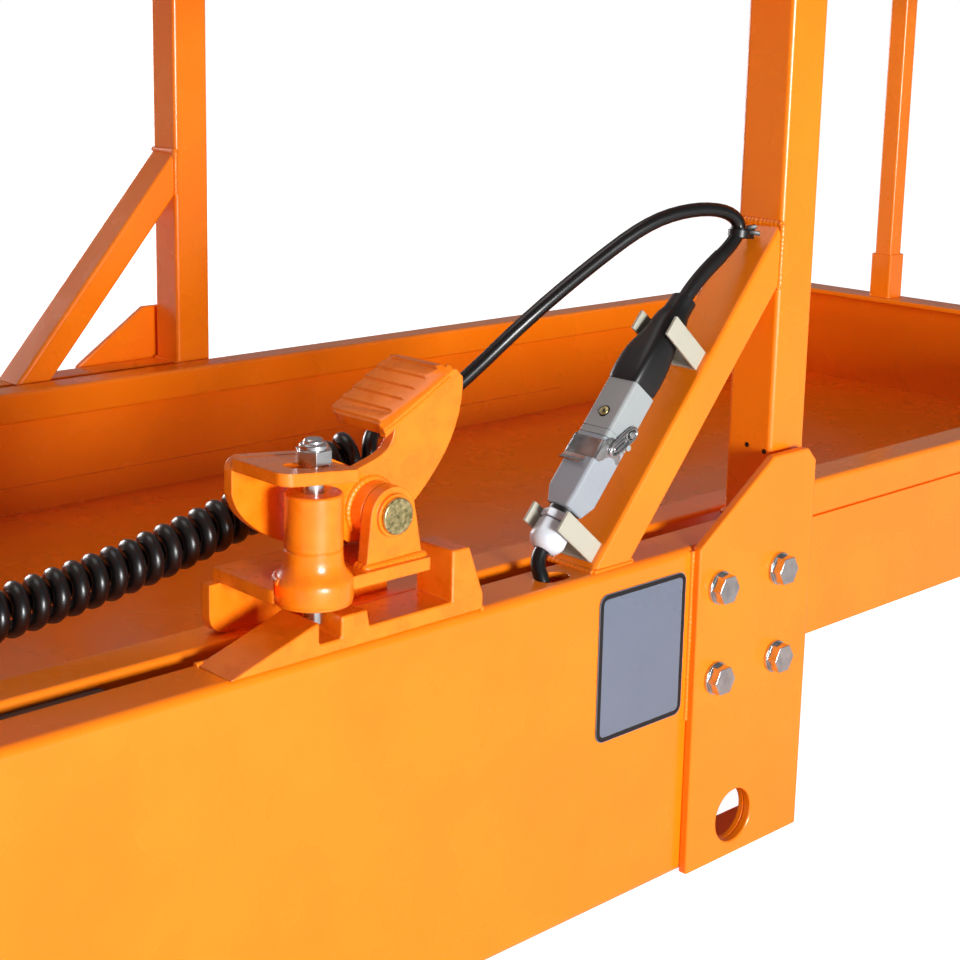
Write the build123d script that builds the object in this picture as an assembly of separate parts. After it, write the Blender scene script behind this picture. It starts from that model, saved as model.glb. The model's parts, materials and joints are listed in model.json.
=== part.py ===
"""Extending work platform of a scissor lift, as separate welded, bolted and moving pieces.

Millimetres.  +X points towards the extension, +Y across the deck, +Z up.
The origin is at the middle of the platform's footprint, on the plane it stands on.
"""
import math
import os

from build123d import *

# ---------------------------------------------------------------- driving dimensions
# Main deck
main_length = 1680.0        # rear face to front face of the main deck
deck_width = 808.0          # over the outer faces of the side panels
panel_height = 242.0        # depth of a side panel
panel_wall = 4.0            # sheet of a side panel
panel_flange = 34.7         # width of a side panel's top and bottom flange
panel_bend = 6.0            # outer bend radius of a side panel
floor_wall = 3.0            # floor sheet
main_floor_top = 109.0      # walking surface of the main deck
cross_width = 60.0          # cross member under the main floor, along the deck
cross_depth = 50.0          # cross member's depth
cross_count = 4
cross_rear = 120.0          # first cross member ahead of the deck's rear face
cross_front = 160.0         # last cross member behind the deck's front face

# Extension
reach = 970.0               # how far the extended nose stands out past the main deck
travel = 900.0              # stroke of the extension
overlap = 680.0             # length of extension that stays inside the main deck
side_gap = 16.3             # gap between a panel's top flange and an extension rail
rail_width = 32.0           # extension rail tube
rail_height = 30.0
rail_wall = 3.0
rail_rise = 2.0             # how far the rail tube stands above the panel flange
skirt_wall = 6.0            # plate under the rail tube
skirt_bottom = 125.5        # lower edge of that plate, below the panel's flange
nose_wall = 6.0             # toe board across the nose
nose_ledge = 36.0           # inward flange along the nose board's top
nose_post_y = 165.0         # nose posts, each side of the middle
nose_socket = 31.0          # square tube that holds a nose post
nose_socket_height = 57.0
edge_strip_height = 26.0    # upturned edge welded along the extension floor
edge_strip_wall = 2.5
edge_strip_end = 875.0      # where the upturned edges stop

# Guard rails
guard_height = 1100.0       # top of the guard rails above the main floor
middle_height = 560.0       # centre of the middle rails above the main floor
post_size = 40.0            # square tube of the main posts
post_wall = 3.0
post_corner = 3.5           # outer corner radius of the tubes
post_setback = 6.0          # post face behind the panel face
guard_size = 38.0           # square tube of the main rails
slide_post = 25.0           # square tube of the extension's posts and rails
slide_wall = 2.5
slide_gap = 8.0             # clearance between the main rails and the extension's rails

# Braces at the front posts
brace_depth = 28.6          # brace tube, in the side plane
brace_foot = 184.5          # upper edge of the foot, behind the post
brace_rise = 217.7          # where the brace's upper edge meets the post, above the flange

# Corner plates
plate_wall = 7.0
plate_back = 90.0           # length of a corner plate behind the post's rear face
plate_peak = 54.0           # top of the plate above the flange
plate_notch = 11.0          # where the slope ends, behind the post's rear face
plate_chamfer = 10.0
bolt_head = 19.0            # across flats
bolt_head_height = 7.5
washer_size = 24.0
washer_wall = 2.5
bolt_pitch_x = 68.0
bolt_pitch_z = 67.0
bolt_front = 40.0           # front bolts behind the plate's front edge
bolt_drop = 31.0            # upper bolts below the flange
pivot_bore = 40.0           # bore for the scissor arm's top pin
pivot_front = 78.0          # the bore behind the plate's front edge
pivot_rise = 30.0           # the bore above the plate's lower edge

# Latch racks, measured from the locking pin's axis
rack_ramp = 70.0            # toe of the ramp
rack_top = 20.0             # land beside the notch, above the flange
rack_notch = 16.0           # width of the locking notch
rack_notch_corner = 2.0
rack_notch_floor = 7.0
rack_tooth = 19.0           # tooth between the notch and the run-out
rack_run = 66.5             # run-out between the tooth and the stop
rack_run_floor = 10.0
rack_stop = 42.0            # height of the stop above the flange
rack_stop_land = 14.0
rack_stop_slope = 12.0
rack_width = 33.0
rack_edge = 1.0             # rack behind the panel face

# Latch on the extension rail
lock_back = 408.8           # locking pin's axis behind the front post's rear face, extension out
lock_inset = 11.0           # locking pin's axis inside the post face
lock_pin = 12.0
lock_rest = 13.5            # pin tip above the flange when it is down
lock_top = 123.0            # pin's upper end above the flange
nut_seat = 109.0            # underside of the nut above the flange
nut_size = 19.0             # across flats
nut_hex = 8.0               # height of the nut's hexagon
nut_collar = 3.4            # height of the nut's domed collar
sleeve_size = 34.0
sleeve_bore = 12.2
sleeve_bottom = 27.6        # above the flange
sleeve_top = 91.8
sleeve_seam = 59.4          # groove between the sleeve's two lengths
collar_size = 45.0          # weld collar at the sleeve's lower end
collar_rise = 9.6           # straight part of the collar
collar_flare = 12.0         # flare from the collar up to the sleeve
base_top = 41.0             # base plate above the flange
base_wall = 8.0
base_back = 32.2            # base plate behind the locking pin
base_front = 78.0           # base plate ahead of the locking pin
base_overhang = 2.0         # base plate's outer edge outside the post face
base_depth = 67.0           # base plate across the deck
base_corner = 14.0          # rounded corner beside the sleeve
web_wall = 8.0              # upright plate that carries the base plate
web_back = 7.7              # that plate's rear end behind the base plate
web_front = 17.0            # its front end ahead of the base plate
web_corner = 12.0
pivot_arm = 53.8            # pedal pivot ahead of the locking pin
pivot_height = 70.0         # pedal pivot above the flange
pivot_pin = 14.0
pivot_head = 22.4
pivot_head_wall = 2.8
pivot_seat = 26.0           # raised seat on the outer ear
pivot_seat_wall = 2.2
pivot_tail = 6.0            # pin beyond the inner ear
ear_wall = 8.5
ear_radius = 17.0
ear_foot = (20.3, 22.7)     # ear's foot behind and ahead of the pivot
ear_inset = 4.0             # outer ear inside the post face

# Pedal, a casting that turns between the ears; outlines are measured from the pivot
pedal_gap = 0.8             # side clearance between its hub and the ears
hub_length = 34.4
cheek_inset = 11.7          # cheek plate from the hub's outer end
cheek_wall = 7.5
fork_wall = 7.5             # lifting plate under the nut
fork_level = 37.7           # its top, beside the locking pin
fork_slope = 0.105          # its rise towards the rear
fork_rear = 89.0
fork_front = 36.5
fork_outside = 8.0          # its outer edge outside the post face
fork_corner = 8.0
fork_slot = (30.0, 14.5)    # slot round the locking pin
fork_slot_back = 59.0       # slot's middle behind the pivot
pad_width = 53.0
pad_front = (9.5, 48.2)     # lower front edge of the pad's top
pad_length = 52.5           # length along X
pad_slope = 0.565
pad_wall = 9.1              # pad's thickness, upright
pad_corner = 9.0
step_count = 6              # grip steps
step_first = 1.6            # first step behind the pad's front edge
step_pitch = 9.42
step_rise = 1.6             # steps across the pad
rim_rise = 4.9              # steps of the toothed rim
rim_wall = 5.0

# Control connector, clipped along the near brace
plug_width = 26.0           # across the brace
plug_depth = 25.0           # away from the brace
plug_stand = 20.0           # its lower face above the brace
plug_inset = 20.0           # its centre line inside the post face
hood_start = 78.5           # stations along the brace, from its foot
hood_end = 121.0
housing_start = 25.0
housing_taper = 36.0        # where the housing starts to taper
gland_nut = (14.5, 21.0)
gland_start = -6.0
hood_flange = 4.5           # joint line behind the hood's lower edge
joint_groove = 0.6
screw_station = 95.5
screw_size = 7.5
plug_corner = 3.0
plug_neck = 18.0
gland_cap = 24.4
boot_size = 23.5
boot_height = 33.5          # boot's centre line above the brace
boot_skirt = 18.0           # straight part of the boot
boot_neck = (156.0, 177.0)
boot_neck_size = 14.0
boot_collar = 20.0
boot_tip_height = 29.4
boot_end = 197.0
clip_wall = 2.5
clip_width = 15.0
clip_height = 45.0
clip_inside = 24.0
clip_lean = 2.0             # arms lean outwards by this much
clip_stations = (6.0, 160.0)
latch_band = (62.0, 74.0)   # sheet-steel band of the connector's latch
latch_eye = (90.7, 27.0)    # pivot of its side plates: station and height above the brace
latch_tip = (69.0, 25.5)    # hooked end of its side plates
latch_eye_radius = 5.0
latch_gap = 0.3
latch_lip = 4.0             # band's turned-down sides
latch_wall = 1.5
cable_size = 10.0
cable_hole_size = (26.0, 17.0)
cable_hole_back = 211.7     # hole in the near flange, behind the front post's rear face
cable_hole_inset = 11.5     # hole's centre inside the post face
coil_size = 33.0
tie_back = 23.6             # cable tie behind the front post's rear face
tie_rise = 213.5            # cable tie above the flange
tie_width = 4.8
tie_wall = 1.4
tie_head = 7.0

# Rear end
gate_post_y = 250.0         # gate post's centre, from the platform's near post face
gate_gap = 6.0              # clearance round the gate
gate_tube = 30.0
gate_drop = 70.0            # gate's lower edge above the flange

# Sign plate
sign_width = 87.0
sign_height = 104.0
sign_back = 184.0           # sign's rear edge behind the front post's rear face
sign_drop = 14.6
sign_wall = 1.0

# ---------------------------------------------------------------- derived places
total_length = main_length + reach
nose_x = total_length / 2
rear_x = -total_length / 2
front_x = nose_x - reach
extension_rear = front_x - overlap
half_width = deck_width / 2
post_face = half_width - post_setback           # outer face of the posts, each side
post_rear_x = front_x - post_size               # rear face of the front posts
flange_inner = half_width - panel_flange
rail_outer = flange_inner - side_gap
rail_inner = rail_outer - rail_width
rail_top = panel_height + rail_rise
rail_under = rail_top - rail_height
skirt_low = panel_height - skirt_bottom
guard_top = main_floor_top + guard_height
middle_z = main_floor_top + middle_height
slide_outer = post_face - guard_size - slide_gap
slide_centre = slide_outer - slide_post / 2
lock_x = post_rear_x - lock_back
pivot_x = lock_x + pivot_arm
pivot_z = panel_height + pivot_height
lock_y = -(post_face - lock_inset)
near = -1
far = 1
sides = (("near", near), ("far", far))

os.makedirs("parts", exist_ok=True)


# ---------------------------------------------------------------- small helpers
def save(name, *solids):
    """Write one node from the solids that belong to it."""
    pieces = []
    for shape in solids:
        pieces.extend(shape.solids())
    node = pieces[0] if len(pieces) == 1 else Compound(children=pieces)
    node.label = name
    export_step(node, f"parts/{name}.step")


def block(x, y, z):
    """Box between the low and high value of each axis."""
    size = [abs(high - low) for low, high in (x, y, z)]
    middle = [(low + high) / 2 for low, high in (x, y, z)]
    return Pos(*middle) * Box(*size)


def tube_section(width, depth, wall, corner):
    """Rounded square-tube section in the XY plane."""
    outer = RectangleRounded(width, depth, corner)
    return outer - Rectangle(width - 2 * wall, depth - 2 * wall)


def tube_x(x, y, z, width, depth, wall):
    """Tube along X from x[0] to x[1], centred on y and z."""
    plane = Plane(origin=(x[0], y, z), x_dir=(0, 1, 0), z_dir=(1, 0, 0))
    return extrude(plane * tube_section(width, depth, wall, post_corner), x[1] - x[0])


def tube_y(x, y, z, width, depth, wall):
    """Tube along Y from y[0] to y[1], centred on x and z."""
    plane = Plane(origin=(x, y[0], z), x_dir=(1, 0, 0), z_dir=(0, 1, 0))
    return extrude(plane * tube_section(width, depth, wall, post_corner), y[1] - y[0])


def post(x, y, z, size, wall):
    """Upright tube with a closed top, centred on x and y."""
    plane = Plane(origin=(x, y, z[0]))
    body = extrude(plane * tube_section(size, size, wall, post_corner), z[1] - z[0])
    cap = extrude(Plane(origin=(x, y, z[1] - wall)) * RectangleRounded(size, size, post_corner), wall)
    return body + cap


def side_prism(points, y_low, y_high):
    """Solid between two Y planes with a straight-sided outline given in X and Z."""
    plane = Plane(origin=(0, y_low, 0), x_dir=(1, 0, 0), z_dir=(0, -1, 0))
    face = make_face(Polyline(*points, close=True))
    return extrude(plane * face, -(y_high - y_low))


def rod_y(x, y, z, diameter):
    """Round bar along Y from y[0] to y[1]."""
    plane = Plane(origin=(x, y[0], z), x_dir=(1, 0, 0), z_dir=(0, 1, 0))
    return extrude(plane * Circle(diameter / 2), y[1] - y[0])


def rod_z(x, y, z, diameter):
    """Round bar along Z from z[0] to z[1]."""
    return extrude(Plane(origin=(x, y, z[0])) * Circle(diameter / 2), z[1] - z[0])


def across(low, high, side):
    """Y range from distances inside the centre plane, on the given side."""
    return tuple(sorted((side * low, side * high)))


def rod_near_face(x, z, side, depth, diameter):
    """Round cutter through a side of the platform, from outside to the given depth."""
    return rod_y(x, across(half_width + 2 * plate_wall, half_width - depth, side), z, diameter)


# ---------------------------------------------------------------- main deck
pivot_place = (front_x - pivot_front, pivot_rise)


def make_side_panel(side):
    """Bent channel with its flanges inwards and rounded bends."""
    outline = [
        (half_width - panel_flange, 0),
        (half_width, 0),
        (half_width, panel_height),
        (half_width - panel_flange, panel_height),
    ]
    plane = Plane(origin=(rear_x, 0, 0), x_dir=(0, side, 0), z_dir=(side, 0, 0))
    path = FilletPolyline(*outline, radius=panel_bend)
    inner = offset(path, amount=panel_wall, side=Side.LEFT, closed=True)
    face = make_face(inner)
    panel = extrude(plane * face, side * main_length)
    panel -= rod_near_face(*pivot_place, side, 3 * panel_wall, pivot_bore)
    return panel


bolt_places = [
    (front_x - bolt_front - column * bolt_pitch_x, panel_height - bolt_drop - row * bolt_pitch_z)
    for column in (0, 1)
    for row in (0, 1)
]


def make_corner_plate(side):
    """Thick gusset that ties a front post to its side panel."""
    front = front_x - 1.0
    back = post_rear_x - plate_back
    peak = panel_height + plate_peak
    outline = [
        (back, 0),
        (front, 0),
        (front, peak - plate_chamfer),
        (front - plate_chamfer, peak),
        (post_rear_x - plate_notch, peak),
        (back, panel_height),
    ]
    y = across(half_width, half_width + plate_wall, side)
    plate = side_prism(outline, *y)
    plate -= rod_near_face(*pivot_place, side, 3 * panel_wall, pivot_bore)
    return plate


def make_bolts(side):
    """Hexagon bolts with washers on the outer face of a corner plate."""
    face = half_width + plate_wall
    bolts = []
    for x, z in bolt_places:
        washer = rod_y(x, across(face, face + washer_wall, side), z, washer_size)
        low, high = across(face + washer_wall, face + washer_wall + bolt_head_height, side)
        plane = Plane(origin=(x, low, z), x_dir=(1, 0, 0), z_dir=(0, 1, 0))
        head = extrude(plane * RegularPolygon(bolt_head / 2, 6, major_radius=False), high - low)
        bolts.append(washer + head)
    return bolts


# Oblong hole in the near flange for the supply cable
cable_hole_x = post_rear_x - cable_hole_back
cable_hole_y = -(post_face - cable_hole_inset)
cable_hole = Pos(cable_hole_x, cable_hole_y, panel_height) * extrude(
    SlotOverall(*cable_hole_size), 3 * panel_wall, both=True
)

for name, side in sides:
    panel = make_side_panel(side)
    if side == near:
        panel -= cable_hole
    save(f"side_panel_{name}", panel)
    save(f"corner_plate_{name}", make_corner_plate(side))
    save(f"corner_bolts_{name}", *make_bolts(side))

inside = half_width - panel_wall
floor_z = (main_floor_top - floor_wall, main_floor_top)
end_wall = 5.0
floor_sheet = block((rear_x + end_wall, front_x - 2.0), (-flange_inner, flange_inner), floor_z)
save("main_floor", floor_sheet)

cross_z = floor_z[0] - cross_depth / 2
cross_span = (-inside, inside)
cross_pitch = (main_length - cross_rear - cross_front) / (cross_count - 1)
cross_places = [rear_x + cross_rear + place * cross_pitch for place in range(cross_count)]
cross_members = [
    tube_y(x, cross_span, cross_z, cross_width, cross_depth, post_wall) for x in cross_places
]
save("cross_members", *cross_members)

# Rear toe board closes the deck's end between the side panels
toe_half = inside - panel_bend / 2
toe_z = (panel_wall, panel_height - panel_wall)
save("rear_toe_board", block((rear_x, rear_x + end_wall), (-toe_half, toe_half), toe_z))

# ---------------------------------------------------------------- main guard rails
post_z = (panel_height, guard_top)
post_y = post_face - post_size / 2
rear_post_x = rear_x + post_size / 2 + end_wall
front_post_x = front_x - post_size / 2
rail_span = (rear_post_x + post_size / 2, post_rear_x)
guard_y = post_face - guard_size / 2
guard_levels = (guard_top - guard_size / 2, middle_z)

brace_angle = math.degrees(math.atan2(brace_rise, brace_foot))
brace_length = math.hypot(brace_rise, brace_foot)


def make_brace(side):
    """Square tube from the side panel's flange up to the post, mitred at both ends."""
    start = Plane(
        origin=(post_rear_x - brace_foot, side * post_y, panel_height),
        x_dir=(0, 1, 0),
        z_dir=(math.cos(math.radians(brace_angle)), 0, math.sin(math.radians(brace_angle))),
    )
    section = Pos(0, -brace_depth / 2) * tube_section(post_size, brace_depth, post_wall, post_corner)
    tube = extrude(start * section, 2 * brace_length, both=True)
    triangle = [
        (post_rear_x - 2 * brace_foot, panel_height),
        (post_rear_x, panel_height),
        (post_rear_x, panel_height + 2 * brace_rise),
        (post_rear_x - 2 * brace_foot, panel_height + 2 * brace_rise),
    ]
    return tube & side_prism(triangle, *across(post_face - post_size - 1, post_face + 1, side))


for name, side in sides:
    save(f"front_post_{name}", post(front_post_x, side * post_y, post_z, post_size, post_wall))
    save(f"post_brace_{name}", make_brace(side))
    y = side * guard_y
    rails = [tube_x(rail_span, y, z, guard_size, guard_size, post_wall) for z in guard_levels]
    save(f"guard_rails_{name}", *rails)

rear_posts = [post(rear_post_x, side * post_y, post_z, post_size, post_wall) for name, side in sides]
save("rear_posts", *rear_posts)

# Short fixed panel between the near rear post and the gate post
gate_post_place = -(post_face - gate_post_y)
gate_post = post(rear_post_x, gate_post_place, post_z, post_size, post_wall)
save("gate_post", gate_post)
fixed_span = (-(post_face - post_size), gate_post_place - post_size / 2)
fixed_rails = [
    tube_y(rear_post_x, fixed_span, z, guard_size, guard_size, post_wall) for z in guard_levels
]
save("rear_rails", *fixed_rails)

# ---------------------------------------------------------------- rear gate
jamb_y = (post_face - post_size - gate_tube, post_face - post_size)
gate_y = (gate_post_place + post_size / 2 + gate_gap, jamb_y[0] - gate_gap)
gate_z = (panel_height + gate_drop, guard_top - 4.0)
gate_stile_y = (gate_y[0] + gate_tube / 2, gate_y[1] - gate_tube / 2)
gate_stiles = [post(rear_post_x, y, gate_z, gate_tube, slide_wall) for y in gate_stile_y]
gate_rail_span = (gate_y[0] + gate_tube, gate_y[1] - gate_tube)
gate_rail_levels = (gate_z[0] + gate_tube / 2, middle_z, gate_z[1] - gate_tube / 2)
gate_rails = [
    tube_y(rear_post_x, gate_rail_span, z, gate_tube, gate_tube, slide_wall) for z in gate_rail_levels
]
jamb = post(rear_post_x, (jamb_y[0] + jamb_y[1]) / 2, post_z, gate_tube, slide_wall)
save("gate_jamb", jamb)
save("gate_stiles", *gate_stiles)
save("gate_rails", *gate_rails)
hinge_levels = (panel_height + 200, guard_top - 200)

# ---------------------------------------------------------------- latch racks
def make_rack(x, direction):
    """Latch rack on the near flange: ramp, notch, tooth, run-out and stop."""
    tooth_end = rack_notch / 2 + rack_tooth
    run_end = tooth_end + rack_run
    stop_end = run_end + rack_stop_land
    profile = [
        (-rack_ramp, 0),
        (-rack_notch / 2 - 1, rack_top),
        (tooth_end, rack_top),
        (tooth_end + 2, rack_run_floor),
        (run_end, rack_run_floor),
        (run_end, rack_stop),
        (stop_end, rack_stop),
        (stop_end + rack_stop_slope, rack_run_floor),
        (stop_end + rack_stop_slope, 0),
    ]
    outline = [(x + direction * along, panel_height + up) for along, up in profile]
    y = (rack_edge - half_width, rack_edge - half_width + rack_width)
    notch_depth = rack_top - rack_notch_floor
    notch_plane = Plane(
        origin=(x, y[0] - 1, panel_height + rack_notch_floor + notch_depth),
        x_dir=(1, 0, 0),
        z_dir=(0, 1, 0),
    )
    notch = RectangleRounded(rack_notch, 2 * notch_depth, rack_notch_corner)
    return side_prism(outline, *y) - extrude(notch_plane * notch, rack_width + 2)


save("latch_racks", make_rack(lock_x, 1), make_rack(lock_x - travel, -1))

# ---------------------------------------------------------------- sign plate
sign_x = post_rear_x - sign_back
sign_z = panel_height - sign_drop
sign_face = Plane(origin=(sign_x + sign_width / 2, -half_width, sign_z - sign_height / 2),
                  x_dir=(1, 0, 0), z_dir=(0, -1, 0))
save("sign_plate", extrude(sign_face * RectangleRounded(sign_width, sign_height, 7), sign_wall))

# ---------------------------------------------------------------- extension
rail_x = (extension_rear, nose_x - nose_wall)
rail_mid_y = (rail_outer + rail_inner) / 2
rail_mid_z = (rail_top + rail_under) / 2
ext_floor_top = skirt_low + floor_wall
for name, side in sides:
    rail = tube_x(rail_x, side * rail_mid_y, rail_mid_z, rail_width, rail_height, rail_wall)
    save(f"extension_rail_{name}", rail)
    skirt_y = across(rail_outer - skirt_wall, rail_outer, side)
    save(f"extension_skirt_{name}", block(rail_x, skirt_y, (skirt_low, rail_under)))

floor_half = rail_outer - skirt_wall
ext_floor = block(rail_x, (-floor_half, floor_half), (skirt_low, ext_floor_top))
strip_x = (extension_rear, edge_strip_end)
strip_z = (ext_floor_top, ext_floor_top + edge_strip_height)
for name, side in sides:
    ext_floor += block(strip_x, across(floor_half - edge_strip_wall, floor_half, side), strip_z)
save("extension_floor", ext_floor)
nose_z = (skirt_low, rail_top)
nose_board = block((nose_x - nose_wall, nose_x), (-rail_outer, rail_outer), nose_z)
ledge_x = (nose_x - nose_wall - nose_ledge, nose_x - nose_wall)
nose_board += block(ledge_x, (-rail_inner, rail_inner), (rail_top - nose_wall, rail_top))
save("nose_board", nose_board)

slide_z = (rail_top, guard_top - guard_size / 2 + slide_post / 2)
slide_levels = (slide_z[1] - slide_post / 2, middle_z)
slide_x = (extension_rear + slide_post / 2, nose_x - nose_wall - slide_post / 2)
slide_posts = [post(slide_x[0], side * slide_centre, slide_z, slide_post, slide_wall) for name, side in sides]
save("extension_posts", *slide_posts)
slide_span = (slide_x[0] + slide_post / 2, nose_x - nose_wall)
for name, side in sides:
    y = side * slide_centre
    rails = [tube_x(slide_span, y, z, slide_post, slide_post, slide_wall) for z in slide_levels]
    save(f"extension_guard_{name}", *rails)
nose_span = (-(slide_centre - slide_post / 2), slide_centre - slide_post / 2)
nose_rails = [tube_y(slide_x[1], nose_span, z, slide_post, slide_post, slide_wall) for z in slide_levels]
save("nose_guard", *nose_rails)

# Two posts carry the nose rails; each stands in a socket on the nose board's inner flange
nose_sockets = []
nose_posts = []
for name, side in sides:
    y = side * nose_post_y
    socket_plane = Plane(origin=(slide_x[1], y, rail_top))
    socket_section = tube_section(nose_socket, nose_socket, slide_wall, post_corner)
    nose_sockets.append(extrude(socket_plane * socket_section, nose_socket_height))
    lower_z = (rail_top, slide_levels[1] - slide_post / 2)
    upper_z = (slide_levels[1] + slide_post / 2, slide_levels[0] - slide_post / 2)
    nose_posts.extend(post(slide_x[1], y, z, slide_post, slide_wall) for z in (lower_z, upper_z))
save("nose_sockets", *nose_sockets)
save("nose_posts", *nose_posts)

# ---------------------------------------------------------------- latch bracket
base_z = (panel_height + base_top - base_wall, panel_height + base_top)
base_x = (lock_x - base_back, lock_x + base_front)
base_y = (-(post_face + base_overhang), base_depth - (post_face + base_overhang))
web_y = (-rail_mid_y - web_wall / 2, -rail_mid_y + web_wall / 2)
ear_inner_y = -(post_face - ear_inset - ear_wall)
pedal_y = (ear_inner_y + pedal_gap, ear_inner_y + pedal_gap + hub_length)
far_ear_y = pedal_y[1] + pedal_gap
seat_y = ear_inner_y - ear_wall - pivot_seat_wall


def pivot_face(outline, y_low, wall):
    """Plate between two Y planes from a closed outline measured from the pivot."""
    plane = Plane(origin=(pivot_x, y_low, pivot_z), x_dir=(1, 0, 0), z_dir=(0, -1, 0))
    return extrude(plane * outline, -wall)


def make_ear(y_low):
    """Upright lug with a round top and slanting sides down to the base plate."""
    foot = base_z[1] - pivot_z
    shoulder = ear_radius / 10
    round_top = CenterArc((0, 0), ear_radius, 0, 180)
    sides_down = Polyline(
        round_top @ 1,
        (-ear_radius, shoulder),
        (-ear_foot[0], foot),
        (ear_foot[1], foot),
        (ear_radius, shoulder),
        round_top @ 0,
    )
    return pivot_face(make_face([*round_top.edges(), *sides_down.edges()]), y_low, ear_wall)


def make_base_plate():
    """Flat plate with one rounded corner beside the sleeve."""
    plate = block(base_x, base_y, base_z)
    corner = plate.edges().filter_by(Axis.Z).sort_by_distance((base_x[0], base_y[0], base_z[0]))[0]
    return fillet(corner, base_corner)


def make_web_plate():
    """Upright plate on the extension rail, rounded at its lower rear corner."""
    plate = block((base_x[0] - web_back, base_x[1] + web_front), web_y, (rail_top, base_z[0]))
    corner = plate.edges().filter_by(Axis.Y).sort_by_distance((base_x[0] - web_back, web_y[0], rail_top))[0]
    return fillet(corner, web_corner)


def make_sleeve():
    """Turned guide for the locking pin: weld collar, flare, and a groove at mid-height."""
    low, seam, high = (panel_height + level for level in (sleeve_bottom, sleeve_seam, sleeve_top))
    collar = collar_size / 2
    radius = sleeve_size / 2
    edge = 1.0
    groove = 0.8
    flare = TangentArc(
        (radius, low + collar_rise + collar_flare),
        (collar, low + collar_rise),
        tangent=(0, -1),
    )
    outline = Polyline(
        flare @ 0,
        (radius, seam - groove),
        (radius - groove, seam),
        (radius, seam + groove),
        (radius, high - edge),
        (radius - edge, high),
        (sleeve_bore / 2, high),
        (sleeve_bore / 2, low),
        (collar, low),
        flare @ 1,
    )
    plane = Plane(origin=(lock_x, lock_y, 0), x_dir=(1, 0, 0), z_dir=(0, -1, 0))
    face = plane * make_face([*flare.edges(), *outline.edges()])
    return revolve(face, Axis((lock_x, lock_y, 0), (0, 0, 1)))


bore = rod_z(lock_x, lock_y, (base_z[0] - base_wall, base_z[1] + base_wall), sleeve_bore)
bracket = make_base_plate() - bore
bracket += make_web_plate()
bracket += make_ear(ear_inner_y - ear_wall)
bracket += make_ear(far_ear_y)
bracket += rod_y(pivot_x, (seat_y, ear_inner_y - ear_wall), pivot_z, pivot_seat)
bracket += make_sleeve()
pin_y = (seat_y, far_ear_y + ear_wall + pivot_tail)
pin_bore = rod_y(pivot_x, (pin_y[0] - 1, pin_y[1] + 1), pivot_z, pivot_pin)
bracket -= pin_bore
save("latch_bracket", bracket)

# ---------------------------------------------------------------- pedal
# Each outline runs round the casting as (ahead of the pivot, above the pivot)
cheek_back = [(73.2, 70), (72.2, 54.1), (60.7, 26.3), (44.6, 7.1), (20, -12.3), (-17, -18.2)]
cheek_heel = [(-17, -18.2), (-27, -12), (-36, 16), (-38, 28.5), (-48, 29.5), (-48, 34), (-36.5, 32.5)]
cheek_throat = [(-36.5, 32.5), (-22, 24), (-3.2, 27.1), (14, 34.9), (17.4, 41.9)]
cheek_top = [(17.4, 41.9), (19, 46), (60, 70.5), (64, 75), (67.9, 75.5), (73.2, 70)]
web_back_edge = [(-89.4, 20), (-83.9, 7.9), (-75.6, -0.8), (-56.4, -12.8), (-10, -20.5)]
web_hub_edge = [(-10, -20.5), (11, -17), (20, 0), (15, 14)]
web_top_edge = [(15, 14), (-30, 35.5), (-81.4, 40.9)]
web_corner_arc = [(-81.4, 40.9), (-87, 38.5), (-89.4, 33)]
web_end_edge = [(-89.4, 33), (-89.4, 20)]


def pad_line(x):
    """Height of the pad's sloping base line."""
    return pad_front[1] + pad_slope * (x - pad_front[0])


def make_pad(y_low, width, rise, tread):
    """Sloping slab whose top carries steps; a tread of zero falls back to the base line."""
    under = pad_front[1] - pad_wall
    end = pad_front[0] + pad_length
    lean = pad_wall * pad_slope / (1 + pad_slope ** 2)
    top = []
    for step in range(step_count):
        x = pad_front[0] + step_first + step * step_pitch
        top.append((x, pad_line(x)))
        top.append((x, pad_line(x) + rise))
        if tread:
            top.append((x + tread, pad_line(x) + rise))
    if tread:
        top[-1] = (end, pad_line(x) + rise)
        top.append((end + lean, pad_line(end)))
    else:
        top.append((end, pad_line(end)))
    outline = [
        (pad_front[0] + lean / 2, under + pad_wall * pad_slope ** 2 / 2),
        pad_front,
        *top,
        (end + lean, pad_line(end) - pad_wall + pad_slope * lean),
    ]
    return pivot_face(make_face(Polyline(*outline, close=True)), y_low, width)


def make_pad_envelope(y_low):
    """Block square to the pad whose far corners are rounded in the plane of the pad."""
    angle = math.degrees(math.atan(pad_slope))
    middle = pad_front[0] + pad_length / 2
    sheet = Plane(
        origin=(pivot_x + middle, y_low, pivot_z + pad_line(middle)),
        x_dir=(math.cos(math.radians(angle)), 0, math.sin(math.radians(angle))),
        z_dir=(-math.sin(math.radians(angle)), 0, math.cos(math.radians(angle))),
    )
    rounded = RectangleRounded(pad_length * math.hypot(1, pad_slope), 2 * pad_width, pad_corner)
    return extrude(sheet * rounded, 3 * pad_wall, both=True)


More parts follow.
